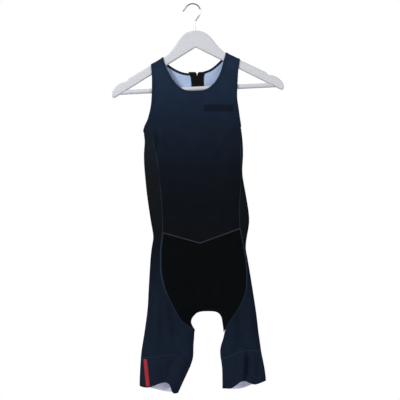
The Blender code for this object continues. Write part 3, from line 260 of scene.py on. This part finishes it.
# Cloth colour by height: millimetres, then the red, green and blue of a screen.
Tone = namedtuple("Tone", "z red green blue")
TONES = {
    "body": [
        Tone(-125, 31, 44, 64),
        Tone(-230, 26, 38, 57),
        Tone(-290, 22, 32, 48),
        Tone(-330, 20, 29, 42),
        Tone(-430, 14, 19, 27),
        Tone(-520, 11, 15, 20),
        Tone(-620, 11, 13, 18),
    ],
    "back": [
        Tone(-125, 28, 41, 60),
        Tone(-330, 20, 29, 42),
        Tone(-430, 14, 19, 27),
        Tone(-600, 11, 14, 19),
    ],
    "leg": [
        Tone(-300, 24, 32, 44),
        Tone(-370, 21, 27, 36),
        Tone(-430, 18, 21, 25),
        Tone(-500, 17, 20, 22),
        Tone(-590, 14, 17, 21),
        Tone(-640, 14, 17, 25),
        Tone(-700, 15, 23, 34),
        Tone(-760, 19, 28, 41),
        Tone(-900, 20, 29, 44),
    ],
    "brief": [Tone(-580, 5, 7, 9), Tone(-850, 5, 8, 10)],
    "seat": [Tone(-580, 7, 9, 11), Tone(-850, 7, 10, 12)],
    "band": [Tone(-890, 22, 31, 46), Tone(-1010, 20, 28, 42)],
    "tape": [Tone(-170, 14, 15, 17), Tone(-560, 14, 15, 17)],
    "binding": [Tone(-125, 30, 43, 62), Tone(-230, 25, 37, 55), Tone(-330, 21, 29, 42)],
    # The lining keeps its own pale colour at the top but is painted lighter towards the hems:
    # painted light inside the legs, where the lining lies in shade.
    "lining_with_painted_light": [Tone(-120, 169, 187, 220), Tone(-330, 175, 190, 222), Tone(-1010, 222, 222, 245)],
    "seam_side": [
        Tone(-300, 22, 31, 44),
        Tone(-345, 22, 30, 42),
        Tone(-370, 36, 47, 57),
        Tone(-410, 34, 44, 52),
        Tone(-440, 17, 22, 28),
        Tone(-480, 30, 38, 44),
        Tone(-600, 32, 40, 50),
        Tone(-700, 31, 44, 60),
        Tone(-750, 25, 36, 50),
        Tone(-815, 22, 31, 44),
        Tone(-850, 30, 41, 56),
    ],
    "seam_waist": [Tone(-570, 52, 56, 62), Tone(-620, 46, 51, 62)],
    "seam_band": [Tone(-890, 30, 42, 58), Tone(-940, 26, 37, 52)],
    "seam_binding": [Tone(-125, 26, 38, 56), Tone(-330, 18, 26, 38)],
}
KNITS = ("body", "back", "leg", "brief", "seat", "band", "binding", "lining_with_painted_light")
THREADS = ("seam_side", "seam_waist", "seam_band", "seam_binding")
TONE_LOW, TONE_HIGH = -1020.0, -120.0

# Waves for each metre of cloth
KNIT_SCALE = 330.0
COURSE_SCALE = 260.0
WEAVE_SCALE = 420.0
KNIT_UNEVENNESS = 0.6

SHEEN_COLOUR = (150, 165, 190)
WOOD_COLOUR = (196, 198, 203)
GRAIN_STRETCH = (6, 60, 60)

Ink = namedtuple("Ink", "name red green blue")
INKS = [
    Ink("red_ink", 154, 42, 50),
    Ink("dark_ink", 15, 23, 35),
]

Hard = namedtuple("Hard", "name red green blue roughness metallic")
HARDS = [
    Hard("coil", 30, 30, 32, 0.5, 0.0),
    Hard("enamel", 46, 46, 50, 0.35, 0.8),
    Hard("wire", 150, 150, 154, 0.28, 1.0),
]
FINISHES = {
    "hanger_body": "painted_wood",
    "hanger_bar": "painted_wood",
    "hanger_hook": "wire",
    "zip_slider": "enamel",
    "zip_pull_tab": "enamel",
}


# Shader helpers

def linear(value):
    """Light of a screen's level from 0 to 255, by the sRGB standard."""
    value /= 255
    return value / 12.92 if value <= 0.04045 else ((value + 0.055) / 1.055) ** 2.4


def colour(red, green, blue):
    return (linear(red), linear(green), linear(blue), 1)


def new_material(name):
    made = bpy.data.materials.new(name)
    made.use_nodes = True
    return made, made.node_tree, made.node_tree.nodes["Principled BSDF"]


def add_node(tree, kind, **settings):
    """A shader node with its settings."""
    made = tree.nodes.new(kind)
    for key, value in settings.items():
        setattr(made, key, value)
    return made


def place_of(tree):
    return add_node(tree, "ShaderNodeTexCoord").outputs["Object"]


def tone_ramp(tree, tones):
    """Colour by height, from a table of tones."""
    split = add_node(tree, "ShaderNodeSeparateXYZ")
    tree.links.new(place_of(tree), split.inputs[0])
    span = add_node(tree, "ShaderNodeMapRange")
    tree.links.new(split.outputs["Z"], span.inputs["Value"])
    span.inputs["From Min"].default_value = TONE_LOW * MM
    span.inputs["From Max"].default_value = TONE_HIGH * MM
    ramp = add_node(tree, "ShaderNodeValToRGB")
    tree.links.new(span.outputs["Result"], ramp.inputs["Fac"])
    stops = sorted(tones)
    stops_in_ramp = ramp.color_ramp.elements
    while len(stops_in_ramp) < len(stops):
        stops_in_ramp.new(0.5)
    for stop, tone in zip(stops_in_ramp, stops):
        stop.position = (tone.z - TONE_LOW) / (TONE_HIGH - TONE_LOW)
    for stop, tone in zip(stops_in_ramp, stops):
        stop.color = colour(tone.red, tone.green, tone.blue)
    return ramp.outputs["Color"]


def wave_value(tree, vector, scale, direction, distortion=0.0):
    wave = add_node(tree, "ShaderNodeTexWave", bands_direction=direction)
    tree.links.new(vector, wave.inputs["Vector"])
    wave.inputs["Scale"].default_value = scale
    wave.inputs["Distortion"].default_value = distortion
    return wave.outputs["Fac"]


def noise_value(tree, vector, scale, detail=3.0):
    noise = add_node(tree, "ShaderNodeTexNoise")
    tree.links.new(vector, noise.inputs["Vector"])
    noise.inputs["Scale"].default_value = scale
    noise.inputs["Detail"].default_value = detail
    return noise.outputs["Fac"]


def joined(tree, first, second, operation):
    """Two values, or a value and a number, put through one sum."""
    step = add_node(tree, "ShaderNodeMath", operation=operation)
    tree.links.new(first, step.inputs[0])
    if isinstance(second, bpy.types.NodeSocket):
        tree.links.new(second, step.inputs[1])
    else:
        step.inputs[1].default_value = second
    return step.outputs[0]


def mottled(tree, base, factor, strength):
    """The base colour made lighter and darker by a pattern."""
    span = add_node(tree, "ShaderNodeMapRange")
    tree.links.new(factor, span.inputs["Value"])
    span.inputs["To Min"].default_value = 1 - strength
    span.inputs["To Max"].default_value = 1 + strength
    mix = add_node(tree, "ShaderNodeVectorMath", operation="SCALE")
    tree.links.new(base, mix.inputs[0])
    tree.links.new(span.outputs["Result"], mix.inputs["Scale"])
    return mix.outputs["Vector"]


def flat_colour(tree, red, green, blue):
    plain = add_node(tree, "ShaderNodeRGB")
    plain.outputs[0].default_value = colour(red, green, blue)
    return plain.outputs[0]


def bump(tree, height, distance, strength, below=None):
    made = add_node(tree, "ShaderNodeBump")
    tree.links.new(height, made.inputs["Height"])
    made.inputs["Distance"].default_value = distance
    made.inputs["Strength"].default_value = strength
    if below is not None:
        tree.links.new(below, made.inputs["Normal"])
    return made.outputs["Normal"]


# Materials

def knit(name, tones):
    """Fine stretch jersey: upright ribs of loops, crossing rows, and a soft mottle."""
    made, tree, shader = new_material(name)
    place = place_of(tree)
    ribs = wave_value(tree, place, KNIT_SCALE, "X", KNIT_UNEVENNESS)
    rows = wave_value(tree, place, COURSE_SCALE, "Z", KNIT_UNEVENNESS)
    loops = joined(tree, ribs, rows, "MULTIPLY")
    clouds = noise_value(tree, place, scale=38.0)
    base = mottled(tree, tone_ramp(tree, tones), clouds, strength=0.22)
    base = mottled(tree, base, loops, strength=0.10)
    tree.links.new(base, shader.inputs["Base Color"])
    swell = noise_value(tree, place, scale=55.0, detail=2.0)
    ripple = bump(tree, swell, distance=0.0012, strength=0.35)
    relief = bump(tree, loops, distance=0.00018, strength=0.55, below=ripple)
    tree.links.new(relief, shader.inputs["Normal"])
    shader.inputs["Roughness"].default_value = 0.85
    shader.inputs["Specular IOR Level"].default_value = 0.04
    shader.inputs["Sheen Weight"].default_value = 0.05
    shader.inputs["Sheen Roughness"].default_value = 0.45
    shader.inputs["Sheen Tint"].default_value = colour(*SHEEN_COLOUR)
    return made


def woven(name, tones):
    """Tight woven tape with a diagonal twill."""
    made, tree, shader = new_material(name)
    place = place_of(tree)
    twill = wave_value(tree, place, WEAVE_SCALE, "DIAGONAL", distortion=0.3)
    base = mottled(tree, tone_ramp(tree, tones), twill, strength=0.3)
    tree.links.new(base, shader.inputs["Base Color"])
    relief = bump(tree, twill, distance=0.0002, strength=0.6)
    tree.links.new(relief, shader.inputs["Normal"])
    shader.inputs["Roughness"].default_value = 0.88
    shader.inputs["Specular IOR Level"].default_value = 0.1
    return made


def thread(name, tones):
    """Flat stitching, whose loops run along the seam by the strip's own coordinates."""
    made, tree, shader = new_material(name)
    along = add_node(tree, "ShaderNodeUVMap").outputs["UV"]
    split = add_node(tree, "ShaderNodeSeparateXYZ")
    tree.links.new(along, split.inputs[0])
    turn = joined(tree, split.outputs["X"], 2 * math.pi, "MULTIPLY")
    lean = joined(tree, split.outputs["Y"], math.pi, "MULTIPLY")
    swing = add_node(tree, "ShaderNodeMath", operation="SINE")
    tree.links.new(joined(tree, turn, lean, "ADD"), swing.inputs[0])
    share = joined(tree, joined(tree, swing.outputs[0], 0.5, "MULTIPLY"), 0.5, "ADD")
    base = mottled(tree, tone_ramp(tree, tones), share, strength=0.4)
    tree.links.new(base, shader.inputs["Base Color"])
    relief = bump(tree, share, distance=0.0004, strength=0.8)
    tree.links.new(relief, shader.inputs["Normal"])
    shader.inputs["Roughness"].default_value = 0.75
    shader.inputs["Specular IOR Level"].default_value = 0.06
    return made


def ink(row):
    """A heat-pressed print: the knit still shows through it, a little flattened."""
    made, tree, shader = new_material(row.name)
    place = place_of(tree)
    plain = flat_colour(tree, row.red, row.green, row.blue)
    wear = noise_value(tree, place, scale=140.0, detail=4.0)
    tree.links.new(mottled(tree, plain, wear, strength=0.16), shader.inputs["Base Color"])
    ribs = wave_value(tree, place, KNIT_SCALE, "X", KNIT_UNEVENNESS)
    relief = bump(tree, ribs, distance=0.0001, strength=0.4)
    tree.links.new(relief, shader.inputs["Normal"])
    shader.inputs["Roughness"].default_value = 0.8
    shader.inputs["Specular IOR Level"].default_value = 0.04
    return made


def painted_wood():
    """White satin paint over turned wood, with faint grain and uneven coats."""
    made, tree, shader = new_material("painted_wood")
    place = place_of(tree)
    stretch = add_node(tree, "ShaderNodeMapping")
    tree.links.new(place, stretch.inputs["Vector"])
    stretch.inputs["Scale"].default_value = GRAIN_STRETCH
    grain = noise_value(tree, stretch.outputs[0], scale=3.0, detail=6.0)
    plain = flat_colour(tree, *WOOD_COLOUR)
    tree.links.new(mottled(tree, plain, grain, strength=0.05), shader.inputs["Base Color"])
    relief = bump(tree, grain, distance=0.0004, strength=0.25)
    tree.links.new(relief, shader.inputs["Normal"])
    shader.inputs["Roughness"].default_value = 0.42
    shader.inputs["Specular IOR Level"].default_value = 0.4
    return made


def hard(row):
    """Drawn or cast metal, or moulded plastic, with fine scratches."""
    made, tree, shader = new_material(row.name)
    scratches = noise_value(tree, place_of(tree), scale=900.0, detail=4.0)
    plain = flat_colour(tree, row.red, row.green, row.blue)
    tree.links.new(mottled(tree, plain, scratches, strength=0.15), shader.inputs["Base Color"])
    relief = bump(tree, scratches, distance=0.00008, strength=0.4)
    tree.links.new(relief, shader.inputs["Normal"])
    shader.inputs["Roughness"].default_value = row.roughness
    shader.inputs["Metallic"].default_value = row.metallic
    return made


# Cloth shells

def face_regions(mesh, angle):
    """Faces grouped into the regions that lie between sharp edges."""
    mesh.faces.ensure_lookup_table()
    group = [-1] * len(mesh.faces)
    groups = []
    for face in mesh.faces:
        if group[face.index] >= 0:
            continue
        stack, members = [face], []
        group[face.index] = len(groups)
        while stack:
            current = stack.pop()
            members.append(current)
            for edge in current.edges:
                if len(edge.link_faces) != 2 or edge.calc_face_angle(math.pi) > angle:
                    continue
                for near in edge.link_faces:
                    if group[near.index] < 0:
                        group[near.index] = len(groups)
                        stack.append(near)
        groups.append(members)
    return groups


def outwardness(faces):
    """Above 0 where a region faces away from the suit's middle plane."""
    return sum(f.calc_area() * f.normal.y * f.calc_center_median().y for f in faces)


def outer_surface(node, angle):
    """The outside of a CAD cloth wall as an open sheet of quads."""
    mesh = bmesh.new()
    mesh.from_mesh(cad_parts[node].data)
    bmesh.ops.remove_doubles(mesh, verts=mesh.verts, dist=WELD_DISTANCE)
    groups = sorted(face_regions(mesh, angle), key=lambda g: -sum(f.calc_area() for f in g))
    keep = set(max(groups[:2], key=outwardness))
    bmesh.ops.delete(mesh, geom=[f for f in mesh.faces if f not in keep], context="FACES")
    bmesh.ops.join_triangles(
        mesh,
        faces=mesh.faces,
        angle_face_threshold=QUAD_FACE_ANGLE,
        angle_shape_threshold=QUAD_SHAPE_ANGLE,
        cmp_seam=False,
    )
    return mesh


def smoothstep(t):
    t = np.clip(t, 0, 1)
    return t * t * (3 - 2 * t)


def crease_height(x, z, side):
    """How far each place is lifted off the plain cloth, in millimetres."""
    lift = np.zeros_like(x)
    for wave in WAVES:
        lift += wave.height * np.sin(wave.across * x + wave.down * z + wave.phase + side)
    for crease in CREASES:
        start = np.array([crease.x0, crease.z0], float)
        run = np.array([crease.x1, crease.z1]) - start
        off = np.stack([x, z], axis=-1) - start
        share = (off @ run) / (run @ run)
        bend = crease.width * BEND_WIDTH * np.sin(share * math.pi * BEND_TURNS + crease.x0)
        across = (off[:, 0] * run[1] - off[:, 1] * run[0]) / np.linalg.norm(run) + bend
        fade = smoothstep(share / END_FADE) * smoothstep((1 - share) / END_FADE)
        ridge = np.exp(-((across / crease.width) ** 2))
        hollow = HOLLOW_DEPTH * np.exp(-((across / crease.width - HOLLOW_OFFSET) ** 2))
        lift += (side == crease.side) * crease.lift * fade * (ridge - hollow)
    return lift * smoothstep((FADE_TOP - z) / FADE_LENGTH)


def creased(mesh):
    """Move a mesh's points by the creases, less and less towards the folded edges."""
    points = np.empty(len(mesh.vertices) * 3)
    mesh.vertices.foreach_get("co", points)
    points = points.reshape(-1, 3) / MM
    side = np.where(points[:, 1] < 0, FRONT, BACK)
    amount = smoothstep(np.abs(points[:, 1]) / EDGE_FADE)
    points[:, 1] += side * amount * crease_height(points[:, 0], points[:, 2], side)
    mesh.vertices.foreach_set("co", (points * MM).ravel())
    mesh.update()


def built(name, build, materials):
    """An object made from a finished bmesh, linked to the scene."""
    mesh = bpy.data.meshes.new(name)
    build.to_mesh(mesh)
    build.free()
    obj = bpy.data.objects.new(name, mesh)
    bpy.context.scene.collection.objects.link(obj)
    for made in materials:
        mesh.materials.append(made)
    return obj


def applied(obj):
    """Replace an object's mesh by what its modifiers make of it."""
    bpy.context.view_layer.update()
    ready = obj.evaluated_get(bpy.context.evaluated_depsgraph_get())
    mesh = bpy.data.meshes.new_from_object(ready)
    obj.modifiers.clear()
    obj.data = mesh
    return mesh


def keep_corners(mesh):
    """Mark the points of a cut that smoothing leaves sharp."""
    sharp = mesh.attributes.new("crease_vert", "FLOAT", "POINT")
    for vertex, mark in zip(mesh.vertices, sharp.data):
        near = [math.hypot(vertex.co.x / MM - x, vertex.co.z / MM - z) for x, z in SHARP_CORNERS]
        mark.value = float(min(near) < CORNER_REACH)


def smoothed(obj, levels):
    keep_corners(obj.data)
    step = obj.modifiers.new("Smooth", "SUBSURF")
    step.levels = step.render_levels = levels
    step.boundary_smooth = "PRESERVE_CORNERS"


def thickened(obj, thickness, inside=0):
    step = obj.modifiers.new("Thickness", "SOLIDIFY")
    step.thickness = thickness * MM
    step.offset = -1
    step.material_offset = inside
    step.material_offset_rim = 0


def cloth_shell(row, materials):
    """The dressed sheet of one cloth piece, still without its thickness."""
    angle = BAND_RIM_ANGLE if row.fabric == "band" else RIM_ANGLE
    lining_with_painted_light = materials[row.fabric if row.fabric in THICKNESS else "lining_with_painted_light"]
    sheet = outer_surface(row.node, angle)
    obj = built(row.node + "_cloth", sheet, [materials[row.fabric], lining_with_painted_light])
    smoothed(obj, SMOOTHING_LEVELS)
    mesh = applied(obj)
    creased(mesh)
    mesh.shade_smooth()
    return obj


def finish_shell(row, obj):
    thickened(obj, THICKNESS.get(row.fabric, CLOTH_THICKNESS), 1)
    applied(obj).shade_smooth()
    obj.data.set_sharp_from_angle(angle=HEM_ANGLE)
    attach(obj, "root")
    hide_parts(row.node)


# Seams

def boundary_loops(mesh):
    """The open edges of a sheet as ordered runs of vertex numbers."""
    build = bmesh.new()
    build.from_mesh(mesh)
    build.verts.ensure_lookup_table()
    edges = {e for e in build.edges if len(e.link_faces) == 1}
    loops = []
    while edges:
        edge = edges.pop()
        chain = [edge.verts[0].index, edge.verts[1].index]
        current = edge.verts[1]
        while True:
            ahead = next((e for e in current.link_edges if e in edges), None)
            if ahead is None:
                break
            edges.discard(ahead)
            current = ahead.other_vert(current)
            chain.append(current.index)
        loops.append(chain)
    build.free()
    return loops


def edge_points(obj):
    """Places and normals along each open edge of a sheet."""
    mesh = obj.data
    return [
        [(mesh.vertices[i].co.copy(), mesh.vertices[i].normal.copy()) for i in loop]
        for loop in boundary_loops(mesh)
    ]


def finer(places):
    """A run of places with more between them."""
    steps = [step / FINER_STEPS for step in range(FINER_STEPS)]
    between = [near.lerp(far, step) for near, far in zip(places[:-1], places[1:]) for step in steps]
    return between + [places[-1]]


def seam_runs(first, second):
    """Stretches of the first piece's edge that lie along the second piece's edge."""
    other = [place for loop in second for place in finer([place for place, _ in loop])]
    tree = KDTree(len(other))
    for i, place in enumerate(other):
        tree.insert(place, i)
    tree.balance()
    runs = []
    for loop in first:
        run = []
        marked = [(place, normal, tree.find(place)) for place, normal in loop]
        far = next((i for i, m in enumerate(marked) if m[2][2] > SEAM_REACH * MM), 0)
        for place, normal, (near, _, distance) in marked[far:] + marked[1 : far + 1]:
            if distance <= SEAM_REACH * MM:
                run.append(((place + near) / 2, normal))
                continue
            runs.append(run)
            run = []
        runs.append(run)
    return [run for run in runs if len(run) >= SEAM_MIN_POINTS]


def lengthened(run, overrun):
    """A run's places and normals, with one more place past each end."""
    places = np.array([place for place, _ in run])
    ups = np.array([normal for _, normal in run])
    before = places[0] - places[1]
    after = places[-1] - places[-2]
    first = places[0] + before / np.linalg.norm(before) * overrun * MM
    last = places[-1] + after / np.linalg.norm(after) * overrun * MM
    return np.vstack([first, places, last]), np.vstack([ups[0], ups, ups[-1]])


def seam_strip(build, uv, run, seam):
    """A low rounded strip of stitching along a run of places and normals."""
    places, ups = lengthened(run, seam.overrun)
    ahead = np.gradient(places, axis=0)
    ahead /= np.linalg.norm(ahead, axis=1, keepdims=True) + TINY
    across = np.cross(ups, ahead)
    across /= np.linalg.norm(across, axis=1, keepdims=True) + TINY
    walked = np.concatenate([[0], np.cumsum(np.linalg.norm(np.diff(places, axis=0), axis=1))])
    rows = []
    for place, up, side in zip(places, ups, across):
        row = []
        for offset, height in PROFILE:
            lift = seam.rise * height if height > 0 else SEAM_SINK * height
            aside = side * offset * seam.width
            row.append(build.verts.new(Vector(place + aside * MM + up * lift * MM)))
        rows.append(row)
    count = len(PROFILE)
    for i, (near, far) in enumerate(zip(rows[:-1], rows[1:])):
        for j in range(count):
            k = (j + 1) % count
            face = build.faces.new((near[j], near[k], far[k], far[j]))
            steps = [(walked[i], j), (walked[i], k), (walked[i + 1], k), (walked[i + 1], j)]
            for loop, (length, step) in zip(face.loops, steps):
                loop[uv].uv = (length / (STITCH_PITCH * MM), step / (count - 1))
    build.faces.new(rows[0][::-1])
    build.faces.new(rows[-1])


def add_seam(seam, edges, materials):
    build = bmesh.new()
    uv = build.loops.layers.uv.new("UVMap")
    for run in seam_runs(edges[seam.first], edges[seam.second]):
        seam_strip(build, uv, run, seam)
    bmesh.ops.recalc_face_normals(build, faces=build.faces)
    obj = built(f"seam_{seam.first}_{seam.second}", build, [materials[seam.thread]])
    obj.data.shade_smooth()
    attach(obj, "root")
    return obj


# Prints and zip teeth

def surface_of(obj):
    return BVHTree.FromObject(obj, bpy.context.evaluated_depsgraph_get())


def hit(tree, x, z, side):
    """Where a line along Y first meets a surface from the front or the back."""
    start = Vector((x, side * RAY_START, z)) * MM
    place, normal, _, _ = tree.ray_cast(start, Vector((0, -side, 0)))
    return place, normal


def add_print(row, shells, materials):
    """A thin patch of ink that lies on a cloth between its four corners."""
    tree = surface_of(shells[row.target])
    upper_left, upper_right, lower_right, lower_left = (np.array(c) for c in row.corners)
    build = bmesh.new()
    grid = []
    for i in range(row.rows + 1):
        left = upper_left + (lower_left - upper_left) * i / row.rows
        right = upper_right + (lower_right - upper_right) * i / row.rows
        line = []
        for j in range(row.columns + 1):
            x, z = left + (right - left) * j / row.columns
            place, normal = hit(tree, x, z, row.side)
            line.append(build.verts.new(place + normal * PRINT_RISE * MM))
        grid.append(line)
    for upper, lower in zip(grid[:-1], grid[1:]):
        for j in range(row.columns):
            build.faces.new((upper[j], lower[j], lower[j + 1], upper[j + 1]))
    obj = built(row.name, build, [materials[row.ink]])
    obj.data.shade_smooth()
    thickened(obj, PRINT_THICKNESS)
    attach(obj, "root")
    return obj


def add_teeth(shells, materials):
    """Two rows of small coil teeth, meshed down the middle of the zip."""
    trees = [surface_of(shells["zip_tape_left"]), surface_of(shells["zip_tape_right"])]
    middle = tape_middle(shells)
    build = bmesh.new()
    count = int((TEETH_TOP - TEETH_END) / TOOTH_PITCH)
    for i in range(count):
        z = TEETH_TOP - i * TOOTH_PITCH
        x = float(np.interp(z, middle[:, 1], middle[:, 0]))
        tape = i % 2
        aside = 2 * tape - 1
        place, _ = hit(trees[tape], x + aside * TAPE_ASIDE, z, BACK)
        centre = Vector((x * MM + aside * TOOTH_SHIFT * MM, place.y + TOOTH_LIFT * MM, z * MM))
        tooth = bmesh.ops.create_cube(build, size=1)["verts"]
        bmesh.ops.scale(build, verts=tooth, vec=Vector(TOOTH_SIZE) * MM)
        bmesh.ops.translate(build, verts=tooth, vec=centre)
    bmesh.ops.bevel(
        build,
        geom=build.edges,
        offset=TOOTH_BEVEL * MM,
        segments=1,
        affect="EDGES",
        clamp_overlap=True,
    )
    obj = built("zip_teeth", build, [materials["coil"]])
    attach(obj, "root")
    return obj


def tape_middle(shells):
    """The line halfway between the two tapes' inner edges, from the bottom up."""
    rows = []
    left = np.array([v.co for v in shells["zip_tape_left"].data.vertices]) / MM
    right = np.array([v.co for v in shells["zip_tape_right"].data.vertices]) / MM
    for z in np.arange(TEETH_END - MIDDLE_MARGIN, TEETH_TOP + MIDDLE_MARGIN, MIDDLE_STEP):
        near_left = left[np.abs(left[:, 2] - z) < MIDDLE_WINDOW]
        near_right = right[np.abs(right[:, 2] - z) < MIDDLE_WINDOW]
        rows.append([(near_left[:, 0].max() + near_right[:, 0].min()) / 2, z])
    return np.array(rows)


# Hard pieces, light and camera

def dress_hard_pieces(materials):
    for node, finish in FINISHES.items():
        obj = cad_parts[node]
        obj.data.materials.clear()
        obj.data.materials.append(materials[finish])
        obj.data.shade_smooth()
        obj.data.set_sharp_from_angle(angle=WOOD_ANGLE)


def add_light(row):
    data = bpy.data.lights.new(row.name, "AREA")
    data.size = row.size
    data.energy = row.power
    obj = bpy.data.objects.new(row.name, data)
    obj.location = row.place
    obj.rotation_euler = (LIGHT_TARGET - Vector(row.place)).to_track_quat("-Z", "Y").to_euler()
    bpy.context.scene.collection.objects.link(obj)


def set_world():
    """White to the camera, and a softer even light on the object."""
    world = bpy.data.worlds.new("studio")
    bpy.context.scene.world = world
    world.use_nodes = True
    tree = world.node_tree
    tree.nodes.clear()
    seen = add_node(tree, "ShaderNodeBackground")
    seen.inputs["Color"].default_value = (1, 1, 1, 1)
    seen.inputs["Strength"].default_value = 1.0
    lit = add_node(tree, "ShaderNodeBackground")
    lit.inputs["Color"].default_value = (1, 1, 1, 1)
    split = add_node(tree, "ShaderNodeSeparateXYZ")
    tree.links.new(add_node(tree, "ShaderNodeTexCoord").outputs["Generated"], split.inputs[0])
    span = add_node(tree, "ShaderNodeMapRange")
    tree.links.new(split.outputs["Z"], span.inputs["Value"])
    span.inputs["From Min"].default_value = -1
    span.inputs["To Min"].default_value = LIGHT_BELOW
    span.inputs["To Max"].default_value = LIGHT_ABOVE
    tree.links.new(span.outputs["Result"], lit.inputs["Strength"])
    ray = add_node(tree, "ShaderNodeLightPath")
    mix = add_node(tree, "ShaderNodeMixShader")
    out = add_node(tree, "ShaderNodeOutputWorld")
    tree.links.new(ray.outputs["Is Camera Ray"], mix.inputs["Fac"])
    tree.links.new(lit.outputs[0], mix.inputs[1])
    tree.links.new(seen.outputs[0], mix.inputs[2])
    tree.links.new(mix.outputs[0], out.inputs["Surface"])


def add_floor():
    build = bmesh.new()
    bmesh.ops.create_circle(build, cap_ends=True, segments=64, radius=FLOOR_RADIUS)
    bmesh.ops.translate(build, verts=build.verts, vec=(0, 0, FLOOR_HEIGHT))
    made, tree, shader = new_material("floor")
    clouds = noise_value(tree, place_of(tree), scale=3.0)
    soft = mottled(tree, flat_colour(tree, *FLOOR_COLOUR), clouds, strength=0.02)
    tree.links.new(soft, shader.inputs["Base Color"])
    shader.inputs["Roughness"].default_value = 0.9
    built("floor", build, [made])


def add_camera():
    data = bpy.data.cameras.new("camera")
    data.angle = CAMERA_ANGLE
    data.clip_start = 0.01
    obj = bpy.data.objects.new("camera", data)
    obj.location = CAMERA_PLACE
    obj.rotation_euler = (math.pi / 2, 0, 0)
    bpy.context.scene.collection.objects.link(obj)
    bpy.context.scene.camera = obj


def make_materials():
    made = {name: knit("knit_" + name, TONES[name]) for name in KNITS}
    made["tape"] = woven("woven_tape", TONES["tape"])
    made.update({name: thread(name, TONES[name]) for name in THREADS})
    made.update({row.name: ink(row) for row in INKS})
    made.update({row.name: hard(row) for row in HARDS})
    made["painted_wood"] = painted_wood()
    return made


def main():
    materials = make_materials()
    shells = {row.node: cloth_shell(row, materials) for row in CLOTHS}
    edges = {row.node: edge_points(shells[row.node]) for row in CLOTHS}
    extras = {row.node: [] for row in CLOTHS}
    for seam in SEAMS:
        extras[seam.first].append(add_seam(seam, edges, materials))
    for row in PRINTS:
        extras[row.target].append(add_print(row, shells, materials))
    extras["zip_tape_left"].append(add_teeth(shells, materials))
    for row in CLOTHS:
        finish_shell(row, shells[row.node])
    dress_hard_pieces(materials)
    set_world()
    add_floor()
    for light in LIGHTS:
        add_light(light)
    add_camera()
    bpy.context.scene.view_settings.view_transform = "Standard"


main()
